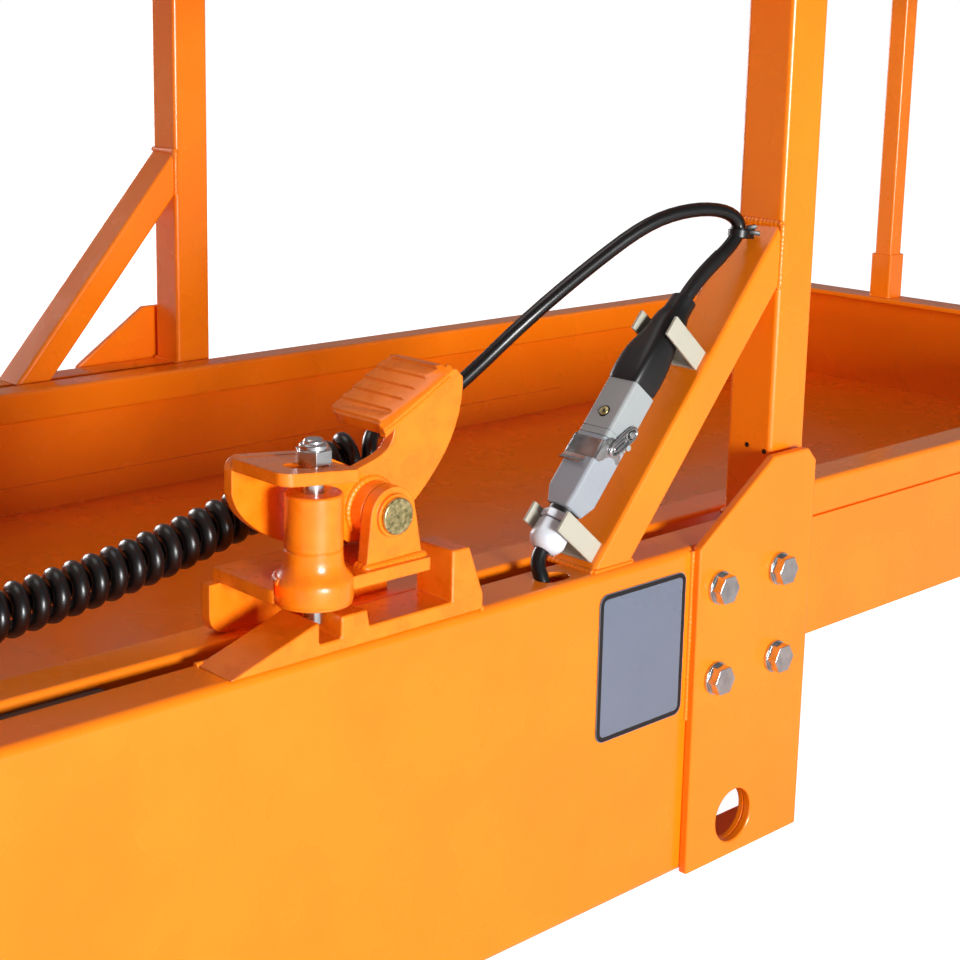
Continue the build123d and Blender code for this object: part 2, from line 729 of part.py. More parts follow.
def make_pedal():
    """Cast foot pedal: hub, side cheek, stepped pad, web and forked lifting plate."""
    cheek_y = pedal_y[0] + cheek_inset
    web_y_low = pedal_y[1] - cheek_wall
    hub = rod_y(pivot_x, pedal_y, pivot_z, 2 * ear_radius)
    cheek_edges = [
        *Spline(*cheek_back).edges(),
        *Polyline(*cheek_heel).edges(),
        *Spline(*cheek_throat).edges(),
        *Polyline(*cheek_top).edges(),
    ]
    web_edges = [
        *Spline(*web_back_edge).edges(),
        *Spline(*web_hub_edge).edges(),
        *Polyline(*web_top_edge).edges(),
        *ThreePointArc(*web_corner_arc).edges(),
        *Line(*web_end_edge).edges(),
    ]
    cheek = pivot_face(make_face(cheek_edges), cheek_y, cheek_wall)
    web = pivot_face(make_face(web_edges), web_y_low, cheek_wall)
    pad = make_pad(cheek_y, pad_width, step_rise, 0) & make_pad_envelope(cheek_y)
    rim = make_pad(cheek_y, rim_wall, rim_rise, rim_rise / pad_slope)

    fork_top = [(x, fork_level - fork_slope * (x + pivot_arm)) for x in (-fork_rear, -fork_front)]
    fork_edges = [*fork_top, *((x, z - fork_wall) for x, z in reversed(fork_top))]
    fork_y = -(post_face + fork_outside)
    fork = pivot_face(make_face(Polyline(*fork_edges, close=True)), fork_y, web_y_low - fork_y)
    corner = fork.edges().sort_by_distance((pivot_x - fork_rear, fork_y, pivot_z + fork_level))
    fork = fillet([edge for edge in corner if edge.length < fork_wall + 1][0], fork_corner)
    slot = Pos(pivot_x - fork_slot_back, lock_y, pivot_z + fork_level) * extrude(
        SlotOverall(*fork_slot), 3 * fork_wall, both=True
    )
    body = hub + web + cheek + pad + rim + (fork - slot)
    return body - pin_bore


save("pedal", make_pedal())
pivot = rod_y(pivot_x, pin_y, pivot_z, pivot_pin - 0.1)
pivot += rod_y(pivot_x, (pin_y[0] - pivot_head_wall, pin_y[0]), pivot_z, pivot_head)
save("pivot_pin", pivot)

# ---------------------------------------------------------------- locking pin
pin_z = (panel_height + lock_rest, panel_height + lock_top)
pin_edge = 1.2
lock = rod_z(lock_x, lock_y, pin_z, lock_pin)
lock = chamfer(lock.edges().filter_by(GeomType.CIRCLE), pin_edge)
nut_z = panel_height + nut_seat
hexagon = RegularPolygon(nut_size / 2, 6, major_radius=False)
nut = Pos(lock_x, lock_y, nut_z) * extrude(hexagon, nut_hex)
nut_top = Cylinder(nut_size / 2 - pin_edge, nut_collar, align=(Align.CENTER, Align.CENTER, Align.MIN))
nut_top = fillet(nut_top.edges().filter_by(GeomType.CIRCLE).sort_by(Axis.Z)[-1], pin_edge)
save("locking_pin", lock + nut + Pos(lock_x, lock_y, nut_z + nut_hex) * nut_top)

# ---------------------------------------------------------------- control connector
brace_plane = Plane(
    origin=(post_rear_x - brace_foot, -(post_face - plug_inset), panel_height),
    x_dir=(0, 1, 0),
    z_dir=(math.cos(math.radians(brace_angle)), 0, math.sin(math.radians(brace_angle))),
)


def along_brace(shape, station, height):
    """Place a shape drawn on XY at a station along the brace, its centre above the brace."""
    return brace_plane * Pos(0, height, station) * shape


plug_centre = plug_stand + plug_depth / 2


def plug_body(low, high, width, depth, corner):
    """Rounded rectangular length of the connector between two stations."""
    return along_brace(extrude(RectangleRounded(width, depth, corner), high - low), low, plug_centre)


def plug_taper(*sections):
    """Ruled loft through sections given as (station, centre height, outline)."""
    return loft([along_brace(outline, station, height) for station, height, outline in sections], ruled=True)


def make_clip(station):
    """Sheet-steel clip: a flat foot on the brace and two arms that lean outwards."""
    half = clip_inside / 2
    outer = [
        (-half - clip_wall, 0),
        (half + clip_wall, 0),
        (half + clip_wall + clip_lean, clip_height),
        (half + clip_lean, clip_height),
        (half, clip_wall),
        (-half, clip_wall),
        (-half - clip_lean, clip_height),
        (-half - clip_wall - clip_lean, clip_height),
    ]
    return along_brace(extrude(make_face(Polyline(*outer, close=True)), clip_width), station, 0)


save("connector_clips", *(make_clip(station) for station in clip_stations))

# Housing: square body, ruled taper and a round neck
plug_section = RectangleRounded(plug_width, plug_depth, plug_corner)
neck_section = Circle(plug_neck / 2)
housing = plug_body(housing_taper, hood_start, plug_width, plug_depth, plug_corner)
housing += plug_taper(
    (housing_start, plug_centre, RectangleRounded(plug_neck + 1, plug_neck + 1, plug_corner)),
    (housing_taper, plug_centre, plug_section),
)
housing += along_brace(extrude(neck_section, housing_start - gland_nut[1]), gland_nut[1], plug_centre)
save("connector_housing", housing)

# Hood: joint groove round it and a screw sunk into its outer face
hood = plug_body(hood_start, hood_end, plug_width, plug_depth, plug_corner)
groove = (hood_start + hood_flange, hood_start + hood_flange + joint_groove)
hood -= plug_body(*groove, plug_width + 1, plug_depth + 1, plug_corner) - plug_body(
    *groove, plug_width - 2 * joint_groove, plug_depth - 2 * joint_groove, plug_corner
)
screw_place = along_brace(Circle(1), screw_station, plug_stand + plug_depth).center()
screw_axis = Plane(origin=screw_place, x_dir=(0, 1, 0), z_dir=brace_plane.y_dir)
hood -= extrude(screw_axis * Circle(screw_size / 2 + 0.6), -2)
screw = extrude(screw_axis * Circle(screw_size / 2), -2)
hood += screw - extrude(screw_axis * Rectangle(1.2, screw_size + 1), -0.9)
save("connector_hood", hood)

# Boot: square skirt, tapered shoulder, thin neck and a round collar at its tip
neck_outline = RectangleRounded(boot_neck_size, boot_neck_size, boot_neck_size * 0.4)
boot = plug_taper(
    (hood_end, boot_height, RectangleRounded(boot_size, boot_size, plug_corner + 1)),
    (hood_end + boot_skirt, boot_height, RectangleRounded(boot_size, boot_size, plug_corner + 3)),
    (boot_neck[0], boot_tip_height + 2, neck_outline),
    (boot_neck[1], boot_tip_height + 1, neck_outline),
)
boot += plug_taper(
    (boot_neck[1], boot_tip_height + 1, Circle(boot_collar / 2)),
    (boot_end, boot_tip_height, Circle(boot_collar / 2)),
)
save("connector_boot", boot)

# Gland: hexagon ring and a round cap that closes on the supply cable
cap_radius = gland_cap / 2
cap_profile = [
    (0, gland_nut[0]),
    (cap_radius, gland_nut[0]),
    (cap_radius, gland_start + cap_radius * 0.7),
    (cap_radius * 0.9, gland_start + cap_radius * 0.35),
    (cap_radius * 0.7, gland_start + cap_radius * 0.1),
    (cable_size / 2 + 1, gland_start),
    (0, gland_start),
]
cap_plane = Plane(
    origin=along_brace(Circle(1), 0, plug_centre).center(), x_dir=(0, 1, 0), z_dir=-brace_plane.y_dir
)
cap_axis = Axis(cap_plane.origin, brace_plane.z_dir)
ring = RegularPolygon(cap_radius - 0.6, 6)
gland = along_brace(extrude(ring, gland_nut[1] - gland_nut[0]), gland_nut[0], plug_centre)
gland += revolve(cap_plane * make_face(Polyline(*cap_profile, close=True)), cap_axis)
save("cable_gland", gland)

# Latch: a band over the housing and two side plates hinged on the hood
side_plane = Plane(origin=brace_plane.origin, x_dir=brace_plane.z_dir, z_dir=(0, -1, 0))
latch_reach = plug_width / 2 + latch_gap
roof = plug_stand + plug_depth + latch_gap
side_outline = [
    (latch_band[0], roof + latch_wall),
    (latch_band[0], roof - latch_lip),
    latch_tip,
    (latch_tip[0] + 3.0, latch_tip[1] - 1.5),
    (latch_eye[0] - latch_eye_radius, latch_eye[1] - 2.5),
    (latch_eye[0], latch_eye[1] - latch_eye_radius),
    (latch_eye[0] + latch_eye_radius, latch_eye[1]),
    (latch_eye[0] + latch_eye_radius - 1.5, latch_eye[1] + latch_eye_radius),
    (latch_band[1] + 11.0, roof - 6.0),
    (latch_band[1], roof + latch_wall),
]
side_face = side_plane * make_face(Polyline(*side_outline, close=True))
latch = extrude(side_face, latch_reach + latch_wall, both=True)
latch -= extrude(side_face, latch_reach, both=True)
roof_half = roof - plug_centre
band = plug_body(*latch_band, 2 * (latch_reach + latch_wall), 2 * (roof_half + latch_wall), latch_wall)
band -= plug_body(*latch_band, 2 * latch_reach, 2 * roof_half, latch_wall / 2)
below = Rectangle(2 * plug_width, 2 * plug_depth)
latch += band - along_brace(extrude(below, hood_end), 0, roof - latch_lip - plug_depth)
save("connector_latch", latch)

# ---------------------------------------------------------------- control box
box_depth = 80.0
box_width = 130.0
box_gap = 17.0              # control box from the gate post
box_y = (gate_post_place - post_size / 2 - box_gap - box_width, gate_post_place - post_size / 2 - box_gap)
box_z = (712.0, 900.0)
bracket_wall = 4.0
bracket_inset = 20.0        # bracket inside the control box's sides
rail_face = rear_post_x + guard_size / 2
box_x = (rail_face + bracket_wall, rail_face + bracket_wall + box_depth)
gland_inset = 29.0          # coil's gland inside the control box's outer end
box_gland = (box_x[0] + box_depth / 2, box_y[0] + gland_inset)
box_gland_size = 22.0
box_gland_length = 20.0
save("control_box", block(box_x, box_y, box_z))
bracket_x = (rail_face, rail_face + bracket_wall)
bracket_y = (box_y[0] + bracket_inset, box_y[1] - bracket_inset)
bracket_z = (middle_z - guard_size / 2, box_z[1] - bracket_inset / 2)
save("control_bracket", block(bracket_x, bracket_y, bracket_z))
save("control_gland", rod_z(*box_gland, (box_z[0] - box_gland_length, box_z[0]), box_gland_size))

# ---------------------------------------------------------------- cords
def cord(points, diameter):
    """Tube of straight runs and tangent arcs along a hand-chosen route."""
    spots = [Vector(*point) for point in points]
    radii = []
    for before, at, after in zip(spots, spots[1:], spots[2:]):
        turn = (at - before).get_angle(after - at)
        run = min((at - before).length, (after - at).length)
        radii.append(0.45 * run / math.tan(math.radians(turn) / 2))
    path = FilletPolyline(*spots, radius=radii)
    start = Plane(origin=path @ 0, z_dir=path % 0)
    tube = sweep(start * Circle(diameter / 2), path=path)
    section = math.pi * diameter ** 2 / 4
    print("cord", round(path.length, 1), "radii", [round(radius, 1) for radius in radii],
          "volume over section times length", round(tube.volume / (section * path.length), 4))
    return tube


coil_y = box_gland[1]
coil_route = [
    (50, coil_y - 8, 334),
    (5, coil_y - 2, 317),
    (-60, coil_y, 296.5),
    (-170, coil_y, 272),
    (-340, coil_y, 257.5),
    (-520, coil_y, 273),
    (-700, coil_y, 320),
    (-880, coil_y, 400),
    (-1050, coil_y, 509),
    (-1180, coil_y, 616),
    (-1214, coil_y, 648),
]
coil_start = Vector(*coil_route[0])
coil_aim = coil_start + (coil_start - Vector(*coil_route[1])).normalized() * 24
boot_tip = along_brace(Circle(1), boot_end, boot_tip_height).center()
boot_aim = along_brace(Circle(1), boot_end + 7, boot_tip_height).center()
control_route = [
    (boot_tip.X, boot_tip.Y, boot_tip.Z),
    (boot_aim.X, boot_aim.Y, boot_aim.Z),
    (258.0, -378, 426.0),
    (290.0, -378, 446.3),
    (292.5, -378, 458.2),
    (278.0, -375, 468.2),
    (252.0, -367, 471.5),
    (220.0, -357, 463.5),
    (183.0, -345, 439.5),
    (130.0, -331, 402.0),
    (93.0, -311, 362.0),
    (coil_aim.X, coil_aim.Y, coil_aim.Z),
    coil_route[0],
]
save("control_cable", cord(control_route, cable_size))

save("coil_cord", cord(coil_route, coil_size))

tail_end = box_z[0] - box_gland_length
tail_route = [
    coil_route[-1],
    (-1227, coil_y, 660.235),
    (*box_gland, tail_end - 18),
    (*box_gland, tail_end),
]
save("control_tail", cord(tail_route, cable_size))

# Supply cable from the gland down through the flange to an outlet in the bottom flange
supply_top = along_brace(Circle(1), gland_start, plug_centre).center()
supply_aim = along_brace(Circle(1), gland_start - 9, plug_centre).center()
outlet_x = cable_hole_x - 4.0
outlet_y = cable_hole_y
outlet_height = 22.0
supply_route = [
    (supply_top.X, supply_top.Y, supply_top.Z),
    (supply_aim.X, supply_aim.Y, supply_aim.Z),
    (outlet_x - 1.0, outlet_y - 4.5, panel_height - 5),
    (outlet_x - 1.5, outlet_y - 1.5, panel_height - 38),
    (outlet_x + 1.5, outlet_y - 0.5, panel_height - 90),
    (outlet_x, outlet_y, panel_wall + outlet_height + 50),
    (outlet_x, outlet_y, panel_wall + outlet_height),
]
save("supply_cable", cord(supply_route, cable_size))
save("supply_outlet", rod_z(outlet_x, outlet_y, (panel_wall, panel_wall + outlet_height), 2 * cable_size))

# Cable tie round the control cable, its head towards the post
tie_place = Plane(
    origin=(post_rear_x - tie_back, -(post_face - plug_inset), panel_height + tie_rise - tie_width),
    x_dir=(1, 0, 0),
    z_dir=(0.1, 0, 1),
)
tie_inner = cable_size / 2 + 1.2
tie = extrude(tie_place * Circle(tie_inner + tie_wall), tie_width)
tie += tie_place * Pos(tie_inner + tie_head / 2, 0, tie_width / 2) * Box(tie_head, tie_head, tie_head)
tie -= extrude(tie_place * Circle(tie_inner), 3 * tie_width, both=True)
save("cable_tie", tie)

# ---------------------------------------------------------------- gate hinges and slide pads
knuckle_height = 40.0
knuckle_size = 18.0
lug_height = 8.0
lug_gap = 1.0
pin_size = 10.0
hinge_stand = 12.0          # hinge axis ahead of the posts' faces
hinge_axis = (rear_post_x + post_size / 2 + hinge_stand, gate_post_place + post_size / 2 + gate_gap / 2)
lug_x = (rear_post_x + post_size / 2, hinge_axis[0] + knuckle_size / 2)
lug_y = (gate_post_place - knuckle_size / 6, hinge_axis[1] + knuckle_size / 2)
leaf_x = (rear_post_x + gate_tube / 2, hinge_axis[0] + knuckle_size / 6)
leaf_y = (hinge_axis[1] + knuckle_size / 4, gate_y[0] + gate_tube * 0.9)
knuckles = []
pins = []
for level in hinge_levels:
    low, high = level - knuckle_height / 2, level + knuckle_height / 2
    knuckle = rod_z(*hinge_axis, (low, high), knuckle_size) + block(leaf_x, leaf_y, (low, high))
    knuckles.append(knuckle - rod_z(*hinge_axis, (low - lug_gap, high + lug_gap), pin_size + 0.12))
    lower = (low - lug_gap - lug_height, low - lug_gap)
    upper = (high + lug_gap, high + lug_gap + lug_height)
    lugs = block(lug_x, lug_y, lower) + block(lug_x, lug_y, upper)
    pins.append(lugs + rod_z(*hinge_axis, (lower[0], upper[1]), pin_size))
save("gate_knuckles", *knuckles)
save("gate_hinge_pins", *pins)

pad_span = (12.0, 62.0)     # slide pads behind the deck's front face
slide_play = 0.3
pad_z = (main_floor_top, skirt_low - slide_play)
pads = [
    block((front_x - pad_span[1], front_x - pad_span[0]), across(rail_inner, rail_outer, side), pad_z)
    for name, side in sides
]
save("slide_pads", *pads)
slider_span = (20.0, 110.0) # sliders ahead of the extension's rear end
slider_height = 34.0
slider_top = panel_height - panel_wall - slide_play
slider_z = (slider_top - slider_height, slider_top)
slider_x = (extension_rear + slider_span[0], extension_rear + slider_span[1])
slider_y = (rail_outer, inside - panel_wall)
sliders = [block(slider_x, across(*slider_y, side), slider_z) for name, side in sides]
save("rear_sliders", *sliders)
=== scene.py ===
"""Extending work platform of a scissor lift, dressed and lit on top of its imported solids.

Metres.  +X points towards the extension, +Y across the deck, +Z up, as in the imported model.
"""
import json
import logging
import math
from dataclasses import dataclass
from enum import Enum
from functools import cache
from itertools import accumulate

import bmesh
import bpy
from mathutils import Matrix, Vector

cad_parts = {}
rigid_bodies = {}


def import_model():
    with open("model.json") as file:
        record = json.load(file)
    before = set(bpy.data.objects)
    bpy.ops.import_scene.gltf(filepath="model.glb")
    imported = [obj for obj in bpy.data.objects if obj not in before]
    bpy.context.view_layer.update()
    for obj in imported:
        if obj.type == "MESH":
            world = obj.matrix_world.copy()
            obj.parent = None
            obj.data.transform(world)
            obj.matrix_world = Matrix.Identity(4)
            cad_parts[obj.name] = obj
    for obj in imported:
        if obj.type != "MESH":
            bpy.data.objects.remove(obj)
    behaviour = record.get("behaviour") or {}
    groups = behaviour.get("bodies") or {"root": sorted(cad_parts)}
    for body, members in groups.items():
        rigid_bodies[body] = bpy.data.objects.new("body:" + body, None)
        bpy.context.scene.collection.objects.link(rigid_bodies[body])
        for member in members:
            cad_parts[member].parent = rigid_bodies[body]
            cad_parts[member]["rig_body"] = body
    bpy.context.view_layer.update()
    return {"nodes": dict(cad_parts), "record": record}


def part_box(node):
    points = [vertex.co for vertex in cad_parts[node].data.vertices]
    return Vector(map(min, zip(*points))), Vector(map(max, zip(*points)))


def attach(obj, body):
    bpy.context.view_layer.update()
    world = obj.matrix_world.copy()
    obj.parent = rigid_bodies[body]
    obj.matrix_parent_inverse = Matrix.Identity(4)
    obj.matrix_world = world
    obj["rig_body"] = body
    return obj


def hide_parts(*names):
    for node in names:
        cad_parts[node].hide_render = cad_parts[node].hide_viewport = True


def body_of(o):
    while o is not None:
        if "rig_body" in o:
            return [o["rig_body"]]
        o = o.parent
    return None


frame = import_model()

LOG = logging.getLogger("platform")
MM = 0.001
SAME_GAP = 1e-6  # joins the points of a finished piece
JOIN_GAP = 2e-6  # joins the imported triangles
CUT_GAP = 5e-6  # joins what a cut leaves
FLAT_DEG = 0.6  # faces nearer than this to one plane count as one


# ------------------------------------------------------------------ colour and node helpers
def linear(code: str) -> tuple[float, float, float, float]:
    """Turn an sRGB hex colour into Blender's linear colour.

    Args:
        code: Six hex digits, without a mark before them.

    Returns:
        Red, green, blue and a full alpha.
    """
    parts = [int(code[place:place + 2], 16) / 255 for place in (0, 2, 4)]
    levels = [part / 12.92 if part <= 0.04045 else ((part + 0.055) / 1.055) ** 2.4 for part in parts]
    return (*levels, 1.0)


def add_node(tree: bpy.types.NodeTree, kind: str, links: dict | None = None, settings: dict | None = None,
             values: dict | None = None) -> bpy.types.Node:
    """Add one shader node with its settings, socket values and incoming links.

    Args:
        tree: Node tree that takes the node.
        kind: Node type without its ShaderNode prefix.
        links: Input socket name or number to the output socket that feeds it.
        settings: Attribute name to value.
        values: Input socket name or number to value.

    Returns:
        The new node.
    """
    node = tree.nodes.new("ShaderNode" + kind)
    for name, value in (settings or {}).items():
        setattr(node, name, value)
    for name, value in (values or {}).items():
        node.inputs[name].default_value = value
    for name, socket in (links or {}).items():
        tree.links.new(socket, node.inputs[name])
    return node


@dataclass(frozen=True)
class Finish:
    """One real finish: its material, the record's slot that it belongs to, its colours and its fine relief.

    Sizes are in millimetres. The colour drifts from shade to base over patches of patch_mm, grain_mm and
    relief_mm are the spacing and depth of the fine relief, and edge_mm is how far the finish softens an edge.
    """

    name: str
    slot: str
    base: str
    shade: str
    roughness: float
    roughness_spread: float = 0.05
    metallic: float = 0.0
    ior: float = 1.5
    coat: float = 0.0
    grain_mm: float = 1.2
    relief_mm: float = 0.02
    patch_mm: float = 90.0
    edge_mm: float = 0.0
    drift: tuple = (0.35, 0.65)
    gloss_drift: tuple = (0.3, 0.7)

    def build(self) -> bpy.types.Material:
        """Make the node material.

        Returns:
            The material, with its pattern on Object coordinates.
        """
        material = bpy.data.materials.new(self.name)
        material.use_nodes = True
        tree = material.node_tree
        tree.nodes.clear()
        place = add_node(tree, "TexCoord").outputs["Object"]
        patches = add_node(tree, "TexNoise", {"Vector": place},
                           values={"Scale": 1 / (self.patch_mm * MM), "Detail": 3.0, "Roughness": 0.55})
        grain = add_node(tree, "TexNoise", {"Vector": place},
                         values={"Scale": 1 / (self.grain_mm * MM), "Detail": 2.0})
        colour = add_node(tree, "ValToRGB", {"Fac": patches.outputs["Fac"]})
        for element, position, code in zip(colour.color_ramp.elements, self.drift, (self.shade, self.base)):
            element.position = position
            element.color = linear(code)
        gloss = add_node(tree, "MapRange", {"Value": patches.outputs["Fac"]},
                         values={"From Min": self.gloss_drift[0], "From Max": self.gloss_drift[1],
                                 "To Min": max(self.roughness - self.roughness_spread, 0.02),
                                 "To Max": self.roughness + self.roughness_spread})
        bump = add_node(tree, "Bump", {"Height": grain.outputs["Fac"]},
                        values={"Strength": 0.35, "Distance": self.relief_mm * MM})
        if self.edge_mm:
            edge = add_node(tree, "Bevel", settings={"samples": 4}, values={"Radius": self.edge_mm * MM})
            tree.links.new(edge.outputs["Normal"], bump.inputs["Normal"])
        shader = add_node(tree, "BsdfPrincipled",
                          {"Base Color": colour.outputs["Color"], "Roughness": gloss.outputs["Result"],
                           "Normal": bump.outputs["Normal"]},
                          values={"Metallic": self.metallic, "IOR": self.ior, "Coat Weight": self.coat,
                                  "Coat Roughness": 0.12})
        add_node(tree, "OutputMaterial", {"Surface": shader.outputs["BSDF"]})
        return material


# Solvent enamel sprayed on steel: even colour, a faint orange peel 2.4 mm across, a clear gloss
PAINT = Finish("orange_enamel_on_steel", "painted", "FF860C", "FC800A", 0.27, coat=0.2, grain_mm=2.4,
               relief_mm=0.06, edge_mm=1.0)
# The same enamel over a sand casting: the grain shows through and breaks up the gloss
CAST_PAINT = Finish("orange_enamel_on_casting", "painted", "FF850C", "F77A0A", 0.3, 0.08, coat=0.2,
                    grain_mm=1.6, relief_mm=0.16, patch_mm=14, edge_mm=1.5)
# Bright zinc plate: a mirror-like metal with small clouds
ZINC = Finish("bright_zinc_plated_steel", "zinc", "D0D1D2", "B4B6B8", 0.2, 0.06, metallic=1.0, grain_mm=0.9,
              relief_mm=0.015, patch_mm=9)
# Rolled spring steel: a little darker than zinc, with long soft reflections
SPRING_STEEL = Finish("polished_spring_steel", "zinc", "C4C5C6", "A6A8AA", 0.22, 0.06, metallic=1.0,
                      grain_mm=1.1, relief_mm=0.015, patch_mm=12)
# Yellow chromate over zinc: blotches of brass and olive a few millimetres wide
YELLOW_ZINC = Finish("yellow_passivated_zinc_steel", "yellow_zinc", "D2C28E", "8F8B5C", 0.34, 0.12,
                     metallic=1.0, grain_mm=0.8, relief_mm=0.09, patch_mm=2.2)
# Powder coat on zinc castings: satin, its 0.2 mm grain drawn at 0.9 mm so that it shows
GREY_HOOD = Finish("light_grey_powder_coated_zinc_casting", "connector_grey", "9DA3A4", "989E9F", 0.42,
                   grain_mm=0.9, relief_mm=0.04)
GREY_SHELL = Finish("blue_grey_powder_coated_zinc_casting", "connector_grey", "9CA3AB", "979EA6", 0.42,
                    grain_mm=0.9, relief_mm=0.04)
# Dip-coated spring strip: a plain, slightly uneven satin
CLIP_STRIP = Finish("cream_coated_spring_strip", "clip_plastic", "BCBAAB", "B4B2A2", 0.42, grain_mm=0.9,
                    relief_mm=0.02)
# Moulded nylon: a waxy, soft highlight
WHITE_NYLON = Finish("white_nylon", "gland_plastic", "DDE5EC", "D6DEE6", 0.34, grain_mm=1.0, relief_mm=0.02)
# Extruded polyurethane: nearly black, with a long clear highlight
CABLE_BLACK = Finish("black_polyurethane_sheath", "black_rubber", "0A0A0B", "060607", 0.3, grain_mm=0.9,
                     relief_mm=0.03)
# Moulded rubber: as dark, with a duller and broader highlight. The same black is also laid as painted shade
# in holes, recesses and gaps
BLACK_RUBBER_AND_SHADE = Finish("black_moulded_rubber_and_painted_shade", "black_rubber", "0A0A0B", "060607", 0.38, grain_mm=0.8,
                      relief_mm=0.03)
# Cast nylon and polycarbonate: dark greys with a dull, even sheen
PAD_PLASTIC = Finish("dark_grey_cast_nylon", "slide_plastic", "2E2E30", "28282A", 0.5)
BOX_PLASTIC = Finish("dark_grey_polycarbonate", "box_grey", "3A3B3D", "333436", 0.42, grain_mm=0.9,
                     relief_mm=0.05)
# Printed vinyl film: flat colour under a smooth gloss
SIGN_FILM = Finish("printed_grey_film", "sign_face", "6C7586", "687182", 0.3, grain_mm=3.0, relief_mm=0.01)
SIGN_BORDER = Finish("printed_black_film", "sign_face", "0B0B0C", "080809", 0.3, grain_mm=3.0, relief_mm=0.01)

# The finish that most nodes of each slot get
NODE_FINISH = {finish.slot: finish for finish in (
    PAINT, ZINC, YELLOW_ZINC, GREY_SHELL, CLIP_STRIP, WHITE_NYLON, BLACK_RUBBER_AND_SHADE, PAD_PLASTIC, BOX_PLASTIC,
    SIGN_FILM)}


@cache
def material_of(finish: Finish) -> bpy.types.Material:
    """Hand out the material of a finish, made at first use."""
    return finish.build()


def paint(piece: bpy.types.Object, finish: Finish) -> None:
    """Give a piece one finish all over.

    Args:
        piece: Object with a mesh or curve.
        finish: Finish to give it.
    """
    piece.data.materials.clear()
    piece.data.materials.append(material_of(finish))


def link(name: str, data: bpy.types.ID) -> bpy.types.Object:
    """Put new object data into the scene.

    Args:
        name: Object name.
        data: Mesh, curve, light or camera data.

    Returns:
        The linked object.
    """
    piece = bpy.data.objects.new(name, data)
    bpy.context.scene.collection.objects.link(piece)
    return piece


class Line(Enum):
    """How a curve follows its points."""

    STRAIGHT = "POLY"
    SMOOTH = "NURBS"


def curve(name: str, points: tuple | list, radius: float, line: Line = Line.SMOOTH, steps: int = 4,
          closed: bool = False) -> bpy.types.Object:
    """Round rod or cord along one spline.

    Args:
        name: Object name.
        points: Control points in metres.
        radius: Radius of the rod, or 0 for a bare line.
        line: How it follows its points.
        steps: Stretches between two of its points.
        closed: Whether it joins up.

    Returns:
        The curve object.
    """
    data = bpy.data.curves.new(name, "CURVE")
    data.dimensions = "3D"
    data.resolution_u = steps
    data.bevel_depth = radius
    data.bevel_resolution = 3 if line is Line.STRAIGHT else 4
    data.use_fill_caps = radius > 0 and not closed
    spline = data.splines.new(line.value)
    spline.points.add(len(points) - 1)
    for point, spot in zip(spline.points, points):
        point.co = (*spot, 1.0)
    spline.order_u = 3
    spline.use_cyclic_u = closed
    spline.use_endpoint_u = not closed
    return link(name, data)


def placed(columns: tuple) -> Matrix:
    """Matrix of a frame.

    Args:
        columns: Its three axes and its origin.

    Returns:
        The matrix.
    """
    return Matrix([[column[row] for column in columns] for row in range(3)] + [[0, 0, 0, 1]])


def own(piece: bpy.types.Object, finish: Finish, *nodes: str, body: str = "main_deck") -> None:
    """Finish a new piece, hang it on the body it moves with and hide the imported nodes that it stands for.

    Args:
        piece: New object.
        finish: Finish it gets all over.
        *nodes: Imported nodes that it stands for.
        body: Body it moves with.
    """
    paint(piece, finish)
    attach(piece, body)
    if nodes:
        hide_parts(*nodes)
    LOG.info("built %s", piece.name)


def close(bed: bmesh.types.BMesh, name: str, smooth_deg: float = 35.0, turn: bool = True) -> bpy.types.Object:
    """Turn a finished bmesh into a smooth-shaded object.

    Args:
        bed: Mesh under work, which is freed.
        name: Object name.
        smooth_deg: Edges sharper than this stay sharp.
        turn: Whether the faces' directions are worked out again.

    Returns:
        The new object.
    """
    bmesh.ops.remove_doubles(bed, verts=bed.verts, dist=SAME_GAP)
    if turn:
        bmesh.ops.recalc_face_normals(bed, faces=bed.faces)
    mesh = bpy.data.meshes.new(name)
    bed.to_mesh(mesh)
    bed.free()
    mesh.shade_smooth()
    mesh.set_sharp_from_angle(angle=math.radians(smooth_deg))
    return link(name, mesh)


def ease_edges(piece: bpy.types.Object, width_mm: float, segments: int = 2, angle_deg: float = 32.0,
               clamp: bool = True) -> None:
    """Round the sharp edges of a piece.

    Args:
        piece: Mesh object.
        width_mm: Width of each rounded edge.
        segments: Faces across it.
        angle_deg: Edges flatter than this stay as they are.
        clamp: Whether short edges hold the width back.
    """
    bevel = piece.modifiers.new("eased_edges", "BEVEL")
    bevel.width = width_mm * MM
    bevel.segments = segments
    bevel.limit_method = "ANGLE"
    bevel.angle_limit = math.radians(angle_deg)
    bevel.use_clamp_overlap = clamp
    even = piece.modifiers.new("even_normals", "WEIGHTED_NORMAL")
    even.keep_sharp = True


def whole_faces(mesh: bpy.types.Mesh, gap: float) -> bmesh.types.BMesh:
    """Copy a mesh with its triangles joined and its flat faces whole again.

    Args:
        mesh: Mesh to copy.
        gap: Points nearer than this become one.

    Returns:
        The copy.
    """
    bed = bmesh.new()
    bed.from_mesh(mesh)
    bmesh.ops.remove_doubles(bed, verts=bed.verts, dist=gap)
    bmesh.ops.dissolve_limit(bed, angle_limit=math.radians(FLAT_DEG), verts=bed.verts, edges=bed.edges)
    return bed


def cut_away(piece: bpy.types.Object, cutter: bpy.types.Object) -> bmesh.types.BMesh:
    """Cut one solid out of another and drop both objects.

    Args:
        piece: Solid that stays.
        cutter: Solid that is taken out of it.

    Returns:
        What is left.
    """
    cut = piece.modifiers.new("trim", "BOOLEAN")
    cut.operation = "DIFFERENCE"
    cut.solver = "EXACT"
    cut.object = cutter
    bpy.context.view_layer.update()
    mesh = bpy.data.meshes.new_from_object(piece.evaluated_get(bpy.context.evaluated_depsgraph_get()))
    for spare in (piece, cutter):
        bpy.data.objects.remove(spare)
    bed = whole_faces(mesh, CUT_GAP)
    bpy.data.meshes.remove(mesh)
    return bed


